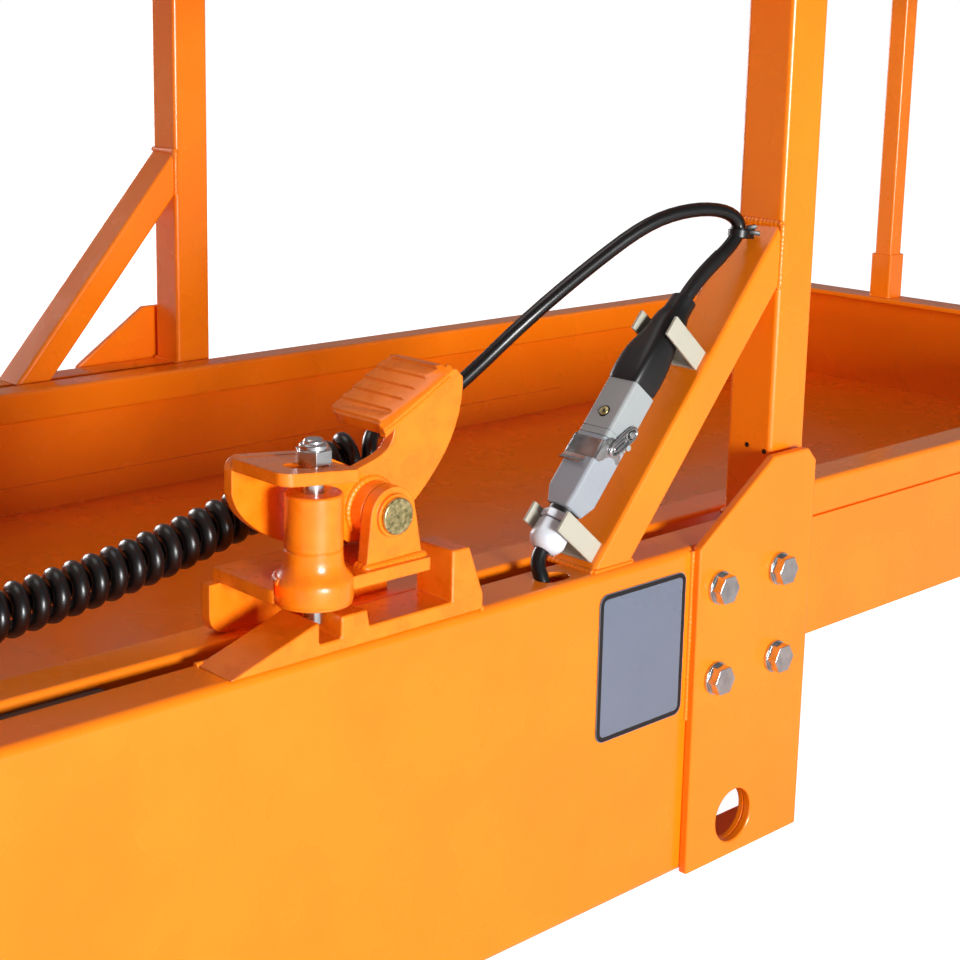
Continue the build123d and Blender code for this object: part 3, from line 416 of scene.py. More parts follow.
def thicken(bed: bmesh.types.BMesh, corners: list[tuple], shift: tuple) -> None:
    """Draw one flat face and pull it out into a block.

    Args:
        bed: Mesh under work.
        corners: Corners of the face, in order.
        shift: How far its copy is moved.
    """
    sole = bed.faces.new([bed.verts.new(corner) for corner in corners])
    top = bmesh.ops.extrude_face_region(bed, geom=[sole])["geom"]
    moved = [item for item in top if isinstance(item, bmesh.types.BMVert)]
    bmesh.ops.translate(bed, verts=moved, vec=shift)


# ------------------------------------------------------------------ solids
class Casting(Enum):
    """Nodes that are cast rather than cut from plate."""

    PEDAL = "pedal"
    BRACKET = "latch_bracket"
    RACKS = "latch_racks"


@dataclass
class Solids:
    """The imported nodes: most keep their own meshes, some get a copy with eased edges.

    The eased widths and the corner's outline are in millimetres.
    """

    eased: tuple = (
        ("corner_plate_near", 1.2), ("corner_plate_far", 1.2), ("latch_racks", 1.0), ("latch_bracket", 0.8),
        ("nose_board", 1.0), ("connector_housing", 1.0), ("connector_hood", 0.7), ("connector_clips", 0.6),
        ("pivot_pin", 0.7), ("locking_pin", 0.7), ("corner_bolts_near", 0.7), ("corner_bolts_far", 0.7),
        ("control_box", 4.0), ("gate_knuckles", 0.8), ("rear_toe_board", 1.0),
    )
    unclamped: tuple = ("latch_racks", "corner_plate_near", "corner_plate_far")
    hood: str = "connector_hood"
    corner_cut: tuple = (
        (-127.0, -393.4), (-111.8, -373.4), (-112.0, -376.5), (-114.7, -385.0), (-113.6, -394.0),
        (-108.6, -401.8), (-109.5, -403.0), (-128.5, -403.0), (-128.5, -395.4),
    )
    corner_low: float = 0.2743
    corner_high: float = 0.2838

    def finish_of(self, node: str, slot: str) -> Finish:
        """Choose the finish of a node.

        Args:
            node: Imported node.
            slot: Its material slot.

        Returns:
            Its finish.
        """
        if node in {casting.value for casting in Casting}:
            return CAST_PAINT
        return GREY_HOOD if node == self.hood else NODE_FINISH[slot]

    def merged(self, node: str) -> bmesh.types.BMesh:
        """Copy a node's mesh with its flat faces whole.

        Args:
            node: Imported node.

        Returns:
            The copy.
        """
        return whole_faces(frame["nodes"][node].data, JOIN_GAP)

    def trimmed(self, node: str) -> bmesh.types.BMesh:
        """Copy the latch bracket with its base plate's outer corner taken off beside the collar.

        Args:
            node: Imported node.

        Returns:
            The trimmed copy.
        """
        rough = close(self.merged(node), node + "_rough", turn=False)
        bed = bmesh.new()
        corners = [(x * MM, y * MM, self.corner_low) for x, y in self.corner_cut]
        thicken(bed, corners, (0, 0, self.corner_high - self.corner_low))
        return cut_away(rough, close(bed, node + "_cutter"))

    def dress(self) -> None:
        """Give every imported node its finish, and ease the edges that show."""
        slots = {row["node"]: row["material_slot"] for row in frame["record"]["subparts"]}
        for node, slot in slots.items():
            paint(frame["nodes"][node], self.finish_of(node, slot))
            LOG.info("dressed %s", node)
        for node, width in self.eased:
            bed = self.trimmed(node) if node == Casting.BRACKET.value else self.merged(node)
            piece = close(bed, node + "_eased", turn=False)
            ease_edges(piece, width, clamp=node not in self.unclamped)
            own(piece, self.finish_of(node, slots[node]), node, body=body_of(frame["nodes"][node])[0])


@dataclass
class PedalCasting:
    """Foot pedal: its casting with rounded edges and a sloping, ground edge beside the grip steps.

    The seam runs along the slope's foot, in millimetres from the pivot.
    """

    node: str = "pedal"
    edge_mm: float = 0.9
    pivot: tuple = (-0.040, 0.312)
    outer_face: float = -0.373
    seam: tuple = ((8.0, 44.8), (70.0, 77.6))
    seam_round_mm: float = 3.6
    slope_in_mm: float = 8.5
    slope_up_mm: float = 5.6
    wedge_out_mm: float = 20.0
    wedge_in_mm: float = 20.0
    wedge_lift: tuple = (-0.012, 0.0, 0.022)

    def trimmer(self) -> bpy.types.Object:
        """Wedge that takes the sharp rim off along the outer edge of the pad.

        Returns:
            The wedge, for cutting only.
        """
        rise = self.slope_up_mm / self.slope_in_mm
        start, stop = [(self.pivot[0] + along * MM, self.pivot[1] + up * MM) for along, up in self.seam]
        corners = []
        for (x, z), inward in ((start, -self.wedge_out_mm), (stop, -self.wedge_out_mm),
                               (stop, self.wedge_in_mm), (start, self.wedge_in_mm)):
            corners.append((x, self.outer_face + inward * MM, z + inward * MM * rise))
        bed = bmesh.new()
        thicken(bed, corners, self.wedge_lift)
        return close(bed, "pad_trimmer")

    def seam_edges(self, bed: bmesh.types.BMesh) -> list[bmesh.types.BMEdge]:
        """Find the edges between the ground slope and the pedal's outer face.

        Args:
            bed: Trimmed casting.

        Returns:
            The edges.
        """
        (x0, z0), (x1, z1) = self.seam
        slope = (z1 - z0) / (x1 - x0)

        def on_seam(spot: Vector) -> bool:
            """Tell whether a point lies on the outer face, on the seam's line."""
            x, z = (spot.x - self.pivot[0]) / MM, (spot.z - self.pivot[1]) / MM
            return abs(spot.y - self.outer_face) < 0.05 * MM and abs(z - z0 - (x - x0) * slope) < 0.3

        return [edge for edge in bed.edges if all(on_seam(vertex.co) for vertex in edge.verts)]

    def build(self, solids: Solids) -> None:
        """Make the pedal.

        Args:
            solids: Gives the merged copy of the node.
        """
        bed = cut_away(close(solids.merged(self.node), "pedal_rough", turn=False), self.trimmer())
        bmesh.ops.bevel(bed, geom=self.seam_edges(bed), offset=self.seam_round_mm * MM, segments=5,
                        profile=0.5, affect="EDGES", material=-1, clamp_overlap=True)
        pedal = close(bed, "pedal_casting", turn=False)
        ease_edges(pedal, self.edge_mm)
        own(pedal, CAST_PAINT, self.node, body="pedal")


# ------------------------------------------------------------------ welds
@dataclass
class Welds:
    """Weld beads, each a rippled run along a seam, painted over with the rest.

    The latch's seams are given by the top of the bracket's base, the outer face of its ears, the ears' span
    along the deck and their distances from that face, and by the pedal's own pivot and face.
    """

    ripple_mm: float = 3.4
    points_per_ripple: int = 4
    depth: float = 0.07
    brace_drop_mm: float = 44.0
    brace_foot_mm: float = 37.5
    base_top: float = 0.283
    ear_face: float = -0.394
    ear_span: tuple = (-0.0603, -0.0173)
    ear_marks_mm: tuple = (8.5, 44.5, 53.0)
    sleeve_ring_mm: float = 21.0
    hub_ring_mm: float = 17.6
    pad_seam: tuple = (
        (10.5, 43.4), (19, 47.4), (29.5, 52.8), (38.3, 57.4), (47.2, 62.2), (56.1, 67.0), (62.5, 70.4),
    )
    collar_profile: tuple = (
        (17.1, 297.0), (17.25, 294.0), (17.8, 291.2), (19.0, 288.4), (20.8, 286.2), (22.3, 284.6),
        (23.0, 282.6), (23.1, 280.4), (23.1, 272.6), (22.5, 270.6), (20.8, 269.7), (12.0, 269.7),
    )

    def bead(self, name: str, body: str, radius_mm: float, points: list) -> None:
        """Lay one bead along a seam.

        Args:
            name: Piece name, after the word weld.
            body: Body that carries the seam.
            radius_mm: Half the bead's width.
            points: Corners of the seam.
        """
        spots = [Vector(point) for point in points]
        row = []
        for before, after in zip(spots, spots[1:]):
            steps = max(1, round((after - before).length / (self.ripple_mm * MM / self.points_per_ripple)))
            row.extend(before.lerp(after, step / steps) for step in range(steps))
        row.append(spots[-1])
        piece = curve("weld_" + name, row, radius_mm * MM, Line.STRAIGHT)
        spline = piece.data.splines[0]
        for count, point in enumerate(spline.points):
            ripple = math.sin(math.tau * count / self.points_per_ripple + 0.8 * math.sin(count * 0.37))
            sway = math.sin(count * 0.083 + radius_mm)
            point.radius = (1.0 - self.depth + self.depth * ripple) * (1 + 0.12 * sway)
        spline.use_smooth = True
        own(piece, PAINT, body=body)

    def build(self) -> None:
        """Lay every bead and turn the collar."""
        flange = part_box("side_panel_near")[1][2]
        self.brace_welds(flange)
        self.rack_welds(flange)
        self.latch_welds()
        self.collar()
        self.foot_welds(flange)

    def brace_welds(self, flange: float) -> None:
        """Lay the beads of the braces and of the near corner plate.

        Args:
            flange: Height of the flange.
        """
        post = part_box("front_post_near")
        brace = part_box("post_brace_near")
        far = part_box("front_post_far")
        rear, side, inner = post[0][0], post[0][1], post[1][1]
        top, low = brace[1][2], brace[1][2] - self.brace_drop_mm * MM
        foot, heel = brace[0][0], brace[0][0] + self.brace_foot_mm * MM
        edge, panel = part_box("corner_plate_near")[0][0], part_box("side_panel_near")[0][1]
        for name, radius, seam in (
            ("brace_head", 3.0, [(rear, inner, low), (rear, inner, top), (rear, side, top)]),
            ("brace_head_outer", 2.4, [(rear, side, top), (rear, side, low)]),
            ("brace_throat", 2.6, [(rear, side, low), (rear, inner, low)]),
            ("brace_foot", 2.4, [(foot, inner, flange), (foot, side, flange)]),
            ("brace_foot_outer", 1.8, [(foot, side, flange), (heel, side, flange)]),
            ("brace_heel", 2.4, [(heel, side, flange), (heel, inner, flange)]),
            ("far_brace_head", 3.0, [(rear, far[0][1], low), (rear, far[0][1], top), (rear, far[1][1], top)]),
            ("plate_edge", 2.0, [(edge, panel, flange - 2 * MM), (edge, panel, flange - 126 * MM)]),
        ):
            self.bead(name, "main_deck", radius, seam)

    def rack_welds(self, flange: float) -> None:
        """Lay the beads that hold the racks on the flange.

        Args:
            flange: Height of the flange.
        """
        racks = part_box("latch_racks")
        outer, inner = racks[0][1] + 0.4 * MM, racks[1][1]
        for name, low, high in (("front", -0.1638, 0.0258), ("rear", racks[0][0], -0.9238)):
            self.bead(f"rack_{name}_inner", "main_deck", 2.0, [(low, inner, flange), (high, inner, flange)])
            self.bead(f"rack_{name}_end", "main_deck", 1.6, [(high, outer, flange), (high, inner, flange)])

    def arc(self, middle: tuple, radius_mm: float, turns: range) -> list[tuple[float, float]]:
        """Points on part of a circle.

        Args:
            middle: Its middle, in metres.
            radius_mm: Its radius.
            turns: Directions, in degrees.

        Returns:
            The points, in the circle's own plane.
        """
        return [(middle[0] + radius_mm * MM * math.cos(math.radians(turn)),
                 middle[1] + radius_mm * MM * math.sin(math.radians(turn))) for turn in turns]

    def pin_axis(self) -> tuple[float, float]:
        """Place of the locking pin's axis on the deck."""
        low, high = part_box("locking_pin")
        return (low[0] + high[0]) / 2, (low[1] + high[1]) / 2

    def latch_welds(self) -> None:
        """Lay the beads of the latch bracket and the pedal."""
        base, face = self.base_top, self.ear_face
        behind, ahead = self.ear_span
        throat, inner, end = (face + mark * MM for mark in self.ear_marks_mm)
        self.bead("ear_outer", "extension", 3.0, [
            (behind, throat, base), (behind, face, base), (ahead, face, base), (ahead, throat, base)])
        self.bead("ear_inner", "extension", 2.6, [
            (behind, inner, base), (ahead, inner, base), (ahead, end, base)])
        self.bead("ear_throat", "extension", 2.6, [(behind, throat, base), (ahead, throat, base)])
        ring = self.arc(self.pin_axis(), self.sleeve_ring_mm, range(5, 171, 11))
        self.bead("sleeve_collar", "extension", 3.0, [(x, y, base) for x, y in ring])
        pivot, cheek = PedalCasting.pivot, PedalCasting.outer_face
        self.bead("pad_seam", "pedal", 1.5, [
            (pivot[0] + x * MM, cheek + 0.5 * MM, pivot[1] + z * MM) for x, z in self.pad_seam])
        hub = self.arc(pivot, self.hub_ring_mm, range(-40, 221, 10))
        self.bead("hub_ring", "pedal", 2.4, [(x, cheek, z) for x, z in hub])

    def collar(self) -> None:
        """Turn the flared collar at the foot of the locking pin's sleeve."""
        axis = self.pin_axis()
        bed = bmesh.new()
        points = [bed.verts.new((axis[0] + radius * MM, axis[1], height * MM))
                  for radius, height in self.collar_profile]
        edges = [bed.edges.new(pair) for pair in zip(points, points[1:])]
        bmesh.ops.spin(bed, geom=points + edges, cent=(*axis, 0), axis=(0, 0, 1), angle=math.tau, steps=72,
                       use_merge=True)
        own(close(bed, "sleeve_collar", 50), CAST_PAINT, body="extension")

    def foot_welds(self, flange: float) -> None:
        """Lay the beads at the posts' feet.

        Args:
            flange: Height of the flange.
        """
        for name in ("front_post_near", "front_post_far", "gate_post"):
            low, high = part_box(name)
            self.bead("foot_" + name, "main_deck", 2.6, [
                (low[0], low[1], flange), (low[0], high[1], flange), (high[0], high[1], flange)])


# ------------------------------------------------------------------ control connector
@dataclass
class BraceFrame:
    """Frame of the near brace: stations run up its outer face, heights stand off it."""

    foot: tuple = (0.1305, -0.378, 0.242)
    along: tuple = (0.646539, 0.0, 0.762881)

    def matrix(self) -> Matrix:
        """Map (station, across, height) in millimetres into the scene.

        Returns:
            The matrix.
        """
        run = Vector(self.along)
        rise = run.cross(Vector((0, 1, 0)))
        return placed((run * MM, Vector((0, MM, 0)), rise * MM, Vector(self.foot)))

    def place(self, bed: bmesh.types.BMesh) -> None:
        """Move a mesh drawn in the brace's frame into the scene.

        Args:
            bed: Mesh in millimetres.
        """
        bmesh.ops.transform(bed, matrix=self.matrix(), verts=bed.verts)

    def spot(self, station: float, across: float, height: float) -> tuple[float, float, float]:
        """Place one point.

        Args:
            station: Distance up the brace, in millimetres.
            across: Distance towards the deck, in millimetres.
            height: Height above the brace, in millimetres.

        Returns:
            The point in the scene.
        """
        return tuple(self.matrix() @ Vector((station, across, height)))


@dataclass(frozen=True)
class Ring:
    """One section of a lofted moulding, in millimetres."""

    station: float
    height: float
    half: float
    squareness: float = 2.0
    hexness: float = 0.0

    def radius(self, angle: float) -> float:
        """Distance of the outline from its middle.

        Args:
            angle: Direction, in radians.

        Returns:
            The distance.
        """
        power = self.squareness
        square = (abs(math.cos(angle)) ** power + abs(math.sin(angle)) ** power) ** (-1 / power)
        flat = math.cos(math.pi / 6) / math.cos(angle % (math.pi / 3) - math.pi / 6)
        return self.half * (square * (1 - self.hexness) + flat * self.hexness)


def loft(rings: tuple, segments: int = 48) -> bmesh.types.BMesh:
    """Join sections into one closed moulding.

    Args:
        rings: Sections, in order along the brace.
        segments: Points to a section.

    Returns:
        The moulding in the brace's frame.
    """
    bed = bmesh.new()
    loops = []
    upright = Matrix.Rotation(math.pi / 2, 4, "Y")
    for ring in rings:
        made = bmesh.ops.create_circle(bed, segments=segments, radius=1.0)["verts"]
        for vertex in made:
            turn = math.atan2(vertex.co.y, vertex.co.x)
            vertex.co = vertex.co * ring.radius(turn)
        place = Matrix.Translation((ring.station, 0, ring.height)) @ upright
        bmesh.ops.transform(bed, matrix=place, verts=made)
        loops.append(list(dict.fromkeys(edge for vertex in made for edge in vertex.link_edges)))
    for lower, upper in zip(loops, loops[1:]):
        bmesh.ops.bridge_loops(bed, edges=lower + upper)
    for end in (loops[0], loops[-1]):
        bmesh.ops.holes_fill(bed, edges=end, sides=segments)
    return bed


class Facing(Enum):
    """Side of the plug that a small piece stands on."""

    SIDE = "side"
    ROOF = "roof"


@dataclass
class Connector:
    """Plug and socket clipped along the near brace: latch, screw, boot and cable gland.

    Sizes are in millimetres in the brace's frame, but for the ties and the sleeve at the brace's head, which
    are in metres in the scene.
    """

    brace: BraceFrame
    half: float = 13.0
    roof: float = 45.0
    wall: float = 1.2
    eye: tuple = (90.7, 27.0)
    loop_run: tuple = (-25.3, 10.45)
    side_outline: tuple = (
        (61.0, 45.0), (61.4, 40.0), (66.5, 36.5), (69.6, 32.5), (70.0, 28.0), (68.2, 24.2), (70.2, 22.6),
        (74.6, 25.0), (76.6, 30.0), (76.6, 35.0), (81.0, 36.5), (80.0, 41.0), (75.0, 45.0),
    )
    tie_tails: tuple = (
        ("tie_tail_upper", (0.2930, -0.3835, 0.4574), (0.2985, -0.3880, 0.4582)),
        ("tie_tail_lower", (0.2945, -0.3845, 0.4545), (0.3005, -0.3895, 0.4532)),
    )
    tie_middle: tuple = (0.2912, -0.378, 0.4538)
    tie_lean: float = 27.0
    sleeve_diameter: float = 0.0108
    boot: tuple = (
        Ring(121.0, 33.5, 12.6, 7.0), Ring(124.0, 33.5, 13.2, 7.0), Ring(131.0, 33.5, 13.5, 7.0),
        Ring(140.0, 33.4, 13.5, 6.0), Ring(146.0, 33.2, 13.3, 5.0), Ring(150.5, 32.9, 13.0, 4.2),
        Ring(156.0, 32.4, 12.6, 3.2), Ring(162.0, 31.9, 12.2, 2.6), Ring(169.0, 31.4, 12.0, 2.2),
        Ring(175.0, 31.0, 11.8, 2.0), Ring(179.0, 30.7, 11.3, 2.0), Ring(182.5, 30.4, 10.2, 2.0),
        Ring(185.0, 30.2, 9.4, 2.0), Ring(190.0, 29.9, 9.0, 2.0), Ring(196.4, 29.4, 8.8, 2.0),
        Ring(197.0, 29.4, 8.1, 2.0),
    )
    gland: tuple = (
        Ring(14.2, 32.5, 11.2, 2.0, 0.6), Ring(13.4, 32.5, 12.0, 2.0, 0.8), Ring(6.0, 32.5, 12.3, 2.0, 0.8),
        Ring(3.6, 32.5, 12.5, 2.0, 0.3), Ring(1.5, 32.5, 12.4), Ring(-0.8, 32.5, 11.7),
        Ring(-3.2, 32.5, 10.2), Ring(-5.0, 32.5, 8.2), Ring(-5.8, 32.5, 6.4), Ring(-5.2, 32.5, 5.3),
    )
    hex_ring: tuple = (
        Ring(15.2, 32.5, 11.6, 2.0, 1.0), Ring(15.8, 32.5, 12.4, 2.0, 1.0), Ring(20.2, 32.5, 12.4, 2.0, 1.0),
        Ring(21.0, 32.5, 11.4, 2.0, 1.0),
    )

    def moulding(self, name: str, rings: tuple, finish: Finish, *nodes: str) -> None:
        """Make one lofted moulding.

        Args:
            name: Piece name.
            rings: Its sections.
            finish: Its finish.
            *nodes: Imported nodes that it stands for.
        """
        bed = loft(rings)
        self.brace.place(bed)
        own(close(bed, name, 40), finish, *nodes)

    def side_plate(self, name: str, across: float) -> None:
        """Make one flat side plate of the latch.

        Args:
            name: Piece name.
            across: Place of its outer face across the brace, in millimetres.
        """
        bed = bmesh.new()
        thicken(bed, [(x, y, 0) for x, y in self.side_outline], (0, 0, self.wall))
        bmesh.ops.bevel(bed, geom=[edge for edge in bed.edges if edge.is_manifold], offset=0.3, segments=2,
                        profile=0.5, affect="EDGES", material=-1)
        bmesh.ops.rotate(bed, matrix=Matrix.Rotation(math.pi / 2, 3, "X"), verts=bed.verts)
        bmesh.ops.translate(bed, vec=(0, across + self.wall, 0), verts=bed.verts)
        self.brace.place(bed)
        own(close(bed, name), SPRING_STEEL)

    def wire(self, name: str, points: tuple, radius: float) -> None:
        """Bend one closed wire loop beside the plug.

        Args:
            name: Piece name.
            points: Station and height of each bend.
            radius: Wire radius, in millimetres.
        """
        across = -self.half - self.wall - radius * 0.8
        spots = [self.brace.spot(station, across, height) for station, height in points]
        own(curve(name, spots, radius * MM, steps=8, closed=True), SPRING_STEEL)

    def stadium(self, half: float, start: float, stop: float) -> tuple:
        """Outline of a long loop that ends round the latch's eye.

        Args:
            half: Half the loop's width.
            start: Distance of its near end from the eye.
            stop: Distance of its far end from the eye.

        Returns:
            Station and height of each bend.
        """
        run = Vector(self.loop_run).normalized()
        side = Vector((-run.y, run.x))
        spots = [run * start - side * half, run * stop - side * half, run * (stop + half) - side * half * 0.5,
                 run * (stop + half) + side * half * 0.5, run * stop + side * half, run * start + side * half,
                 run * (start - half) + side * half * 0.5, run * (start - half) - side * half * 0.5]
        return tuple((self.eye[0] + spot.x, self.eye[1] + spot.y) for spot in spots)

    def strap(self) -> None:
        """Fold the latch's strap over the plug and turn up its lip."""
        half, roof = self.half, self.roof
        section = ((-half - 0.9, 41.0), (-half - 0.9, roof - 0.6), (-half + 0.4, roof + 0.9),
                   (half - 0.4, roof + 0.9), (half + 0.9, roof - 0.6), (half + 0.9, 38.5))
        bed = bmesh.new()
        bends = [bed.verts.new((75.0, across, height)) for across, height in section]
        line = [bed.edges.new(pair) for pair in zip(bends, bends[1:])]
        out = bmesh.ops.extrude_edge_only(bed, edges=line)["geom"]
        bmesh.ops.translate(bed, verts=[item for item in out if isinstance(item, bmesh.types.BMVert)],
                            vec=(-14.0, 0, 0))
        lip = ((61.0, roof + 0.9, -half + 6.0, half + 0.4), (58.6, roof + 1.3, -half + 6.6, half + 0.2),
               (56.6, roof + 2.3, -half + 6.6, half + 0.2), (55.2, roof + 3.9, -half + 6.6, half + 0.2))
        rows = [[bed.verts.new((station, across, height)) for across in ends]
                for station, height, *ends in lip]
        for lower, upper in zip(rows, rows[1:]):
            bed.faces.new((lower[0], lower[1], upper[1], upper[0]))
        bmesh.ops.recalc_face_normals(bed, faces=bed.faces)
        bmesh.ops.solidify(bed, geom=bed.faces, thickness=self.wall)
        self.brace.place(bed)
        strap = close(bed, "latch_strap", 30)
        ease_edges(strap, 0.35)
        own(strap, SPRING_STEEL, "connector_latch")

    def latch(self) -> None:
        """Make the latch: its strap, side plates, wire loops, rivet and peg."""
        self.strap()
        self.side_plate("latch_side_outer", -self.half - self.wall)
        self.side_plate("latch_side_inner", self.half)
        self.wire("latch_loop_wide", self.stadium(4.4, -1.0, 17.5), 1.15)
        self.wire("latch_loop_narrow", self.stadium(1.6, 7.5, 16.5), 0.9)
        rivet = (self.eye[0], -self.half, self.eye[1])
        self.disc("latch_rivet", rivet, 2.6, 3.6, Facing.SIDE, ZINC)
        self.disc("latch_rivet_seat", rivet, 4.6, 1.6, Facing.SIDE, SPRING_STEEL)
        # Black disc round the rivet: painted shadow in the gap between rivet and seat
        self.disc("latch_rivet_gap_shadow", rivet, 3.5, 1.9, Facing.SIDE, BLACK_RUBBER_AND_SHADE)
        self.disc("latch_peg", (82.2, -self.half + 1.0, 24.0), 2.2, 4.4, Facing.SIDE, GREY_HOOD)

    def disc(self, name: str, middle: tuple, radius: float, tall: float, facing: Facing, finish: Finish,
             sides: int = 32) -> None:
        """Make a short round piece that stands on the plug.

        Args:
            name: Piece name.
            middle: Station, across and height of its foot.
            radius: Its radius, in millimetres.
            tall: Its height, in millimetres.
            facing: Side of the plug that it stands on.
            finish: Its finish.
            sides: Number of sides.
        """
        bed = bmesh.new()
        bmesh.ops.create_cone(bed, cap_ends=True, segments=sides, radius1=radius, radius2=radius * 0.94,
                              depth=tall)
        bmesh.ops.translate(bed, verts=bed.verts, vec=(0, 0, tall / 2))
        bmesh.ops.bevel(bed, geom=bed.edges, offset=min(0.35, tall * 0.3), segments=2, profile=0.5,
                        affect="EDGES", material=-1, clamp_overlap=True)
        if facing is Facing.SIDE:
            bmesh.ops.rotate(bed, matrix=Matrix.Rotation(math.pi / 2, 3, "X"), verts=bed.verts)
        bmesh.ops.translate(bed, verts=bed.verts, vec=middle)
        self.brace.place(bed)
        own(close(bed, name), finish)

    def ties(self) -> None:
        """Make the clipped tails and the second band of the cable ties at the brace's head."""
        for name, start, stop in self.tie_tails:
            run = Vector(stop) - Vector(start)
            bed = bmesh.new()
            bmesh.ops.create_cube(bed, size=1.0)
            bmesh.ops.scale(bed, vec=(2.2 * MM, 3.0 * MM, run.length), verts=bed.verts)
            bmesh.ops.bevel(bed, geom=bed.edges, offset=0.3 * MM, segments=2, profile=0.5, affect="EDGES",
                            material=-1)
            bmesh.ops.rotate(bed, matrix=run.to_track_quat("Z", "Y").to_matrix(), verts=bed.verts)
            bmesh.ops.translate(bed, vec=(Vector(start) + Vector(stop)) / 2, verts=bed.verts)
            own(close(bed, name), BLACK_RUBBER_AND_SHADE)
        bed = bmesh.new()
        bmesh.ops.create_cone(bed, segments=40, radius1=6.4 * MM, radius2=6.4 * MM, depth=4.6 * MM)
        bmesh.ops.solidify(bed, geom=bed.faces, thickness=1.2 * MM)
        bmesh.ops.rotate(bed, matrix=Matrix.Rotation(math.radians(self.tie_lean), 3, "Y"), verts=bed.verts)
        bmesh.ops.translate(bed, vec=self.tie_middle, verts=bed.verts)
        own(close(bed, "tie_band_lower"), CABLE_BLACK)

    def sleeve(self) -> None:
        """Make the shrunk sleeve over the cable's first stretch, on the cable's own route."""
        lead = [Vector(spot) for spot in ControlCord.lead[:4]]
        lead[3] = lead[2].lerp(lead[3], 0.5)
        own(curve("cable_sleeve", lead, self.sleeve_diameter / 2), BLACK_RUBBER_AND_SHADE)

    def build(self) -> None:
        """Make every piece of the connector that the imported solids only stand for."""
        self.ties()
        self.sleeve()
        self.latch()
        self.moulding("connector_boot_moulding", self.boot, BLACK_RUBBER_AND_SHADE, "connector_boot")
        self.moulding("gland_cap", self.gland, WHITE_NYLON, "cable_gland")
        self.moulding("gland_ring", self.hex_ring, WHITE_NYLON)
        # Black ring on the gland's neck: painted shadow in the gap between the hex ring and the housing
        self.moulding("gland_neck_shadow", (Ring(20.6, 32.5, 9.8), Ring(24.6, 32.5, 9.8)), BLACK_RUBBER_AND_SHADE)
        screw = (95.5, 0, self.roof - 0.1)
        # Black disc under the screw head: painted shade of the recess round the screw
        self.disc("hood_screw_recess_shadow", screw, 4.2, 0.25, Facing.ROOF, BLACK_RUBBER_AND_SHADE)
        self.disc("hood_screw", screw, 3.4, 0.9, Facing.ROOF, YELLOW_ZINC)
        # Black hexagon on the screw head: painted shade inside its socket
        self.disc("hood_screw_socket_shadow", (95.5, 0, self.roof + 0.62), 1.4, 0.25, Facing.ROOF, BLACK_RUBBER_AND_SHADE, 6)


@dataclass
class PostHoles:
    """Two small drilled holes in the rear face of the near front post, drawn as black discs: painted shade
    for their dark insides.
    """

    spots: tuple = ((-0.3768, 0.2965), (-0.3924, 0.2943))
    radius_mm: float = 1.9

    def build(self) -> None:
        """Make the black discs of painted shade that stand for the holes."""
        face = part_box("front_post_near")[0][0]
        for count, (across, height) in enumerate(self.spots):
            bed = bmesh.new()
            bmesh.ops.create_cone(bed, cap_ends=True, segments=24, radius1=self.radius_mm * MM,
                                  radius2=self.radius_mm * MM, depth=1.2 * MM)
            bmesh.ops.rotate(bed, matrix=Matrix.Rotation(math.pi / 2, 3, "Y"), verts=bed.verts)
            bmesh.ops.translate(bed, vec=(face + 0.55 * MM, across, height), verts=bed.verts)
            own(close(bed, f"post_hole_shadow_{count + 1}"), BLACK_RUBBER_AND_SHADE)


@dataclass
class SignPlate:
    """Blank sign: grey film with a printed border that follows its rounded corners."""

    border_mm: float = 3.2
    corner_mm: float = 7.0
    inset_mm: float = 0.4
    node: str = "sign_plate"

    def build(self) -> None:
        """Make the border."""
        low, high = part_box(self.node)
        bed = bmesh.new()
        made = bmesh.ops.create_grid(bed, x_segments=1, y_segments=1, size=0.5)["verts"]
        wide, tall = high[0] - low[0] - 2 * self.inset_mm * MM, high[2] - low[2] - 2 * self.inset_mm * MM
        bmesh.ops.scale(bed, vec=(wide, tall, 1), verts=made)
        bmesh.ops.bevel(bed, geom=list(bed.verts), offset=self.corner_mm * MM, segments=6, profile=0.5,
                        affect="VERTICES", material=-1)
        rim = bmesh.ops.inset_region(bed, faces=bed.faces[:], thickness=self.border_mm * MM,
                                     use_boundary=True, use_even_offset=True)["faces"]
        bmesh.ops.delete(bed, geom=[old for old in bed.faces if old not in rim], context="FACES")
        bmesh.ops.solidify(bed, geom=bed.faces, thickness=0.12 * MM)
        bmesh.ops.rotate(bed, matrix=Matrix.Rotation(math.pi / 2, 3, "X"), verts=bed.verts)
        middle = ((low[0] + high[0]) / 2, low[1] - 0.05 * MM, (low[2] + high[2]) / 2)
        bmesh.ops.translate(bed, verts=bed.verts, vec=middle)
        own(close(bed, "sign_border"), SIGN_BORDER)


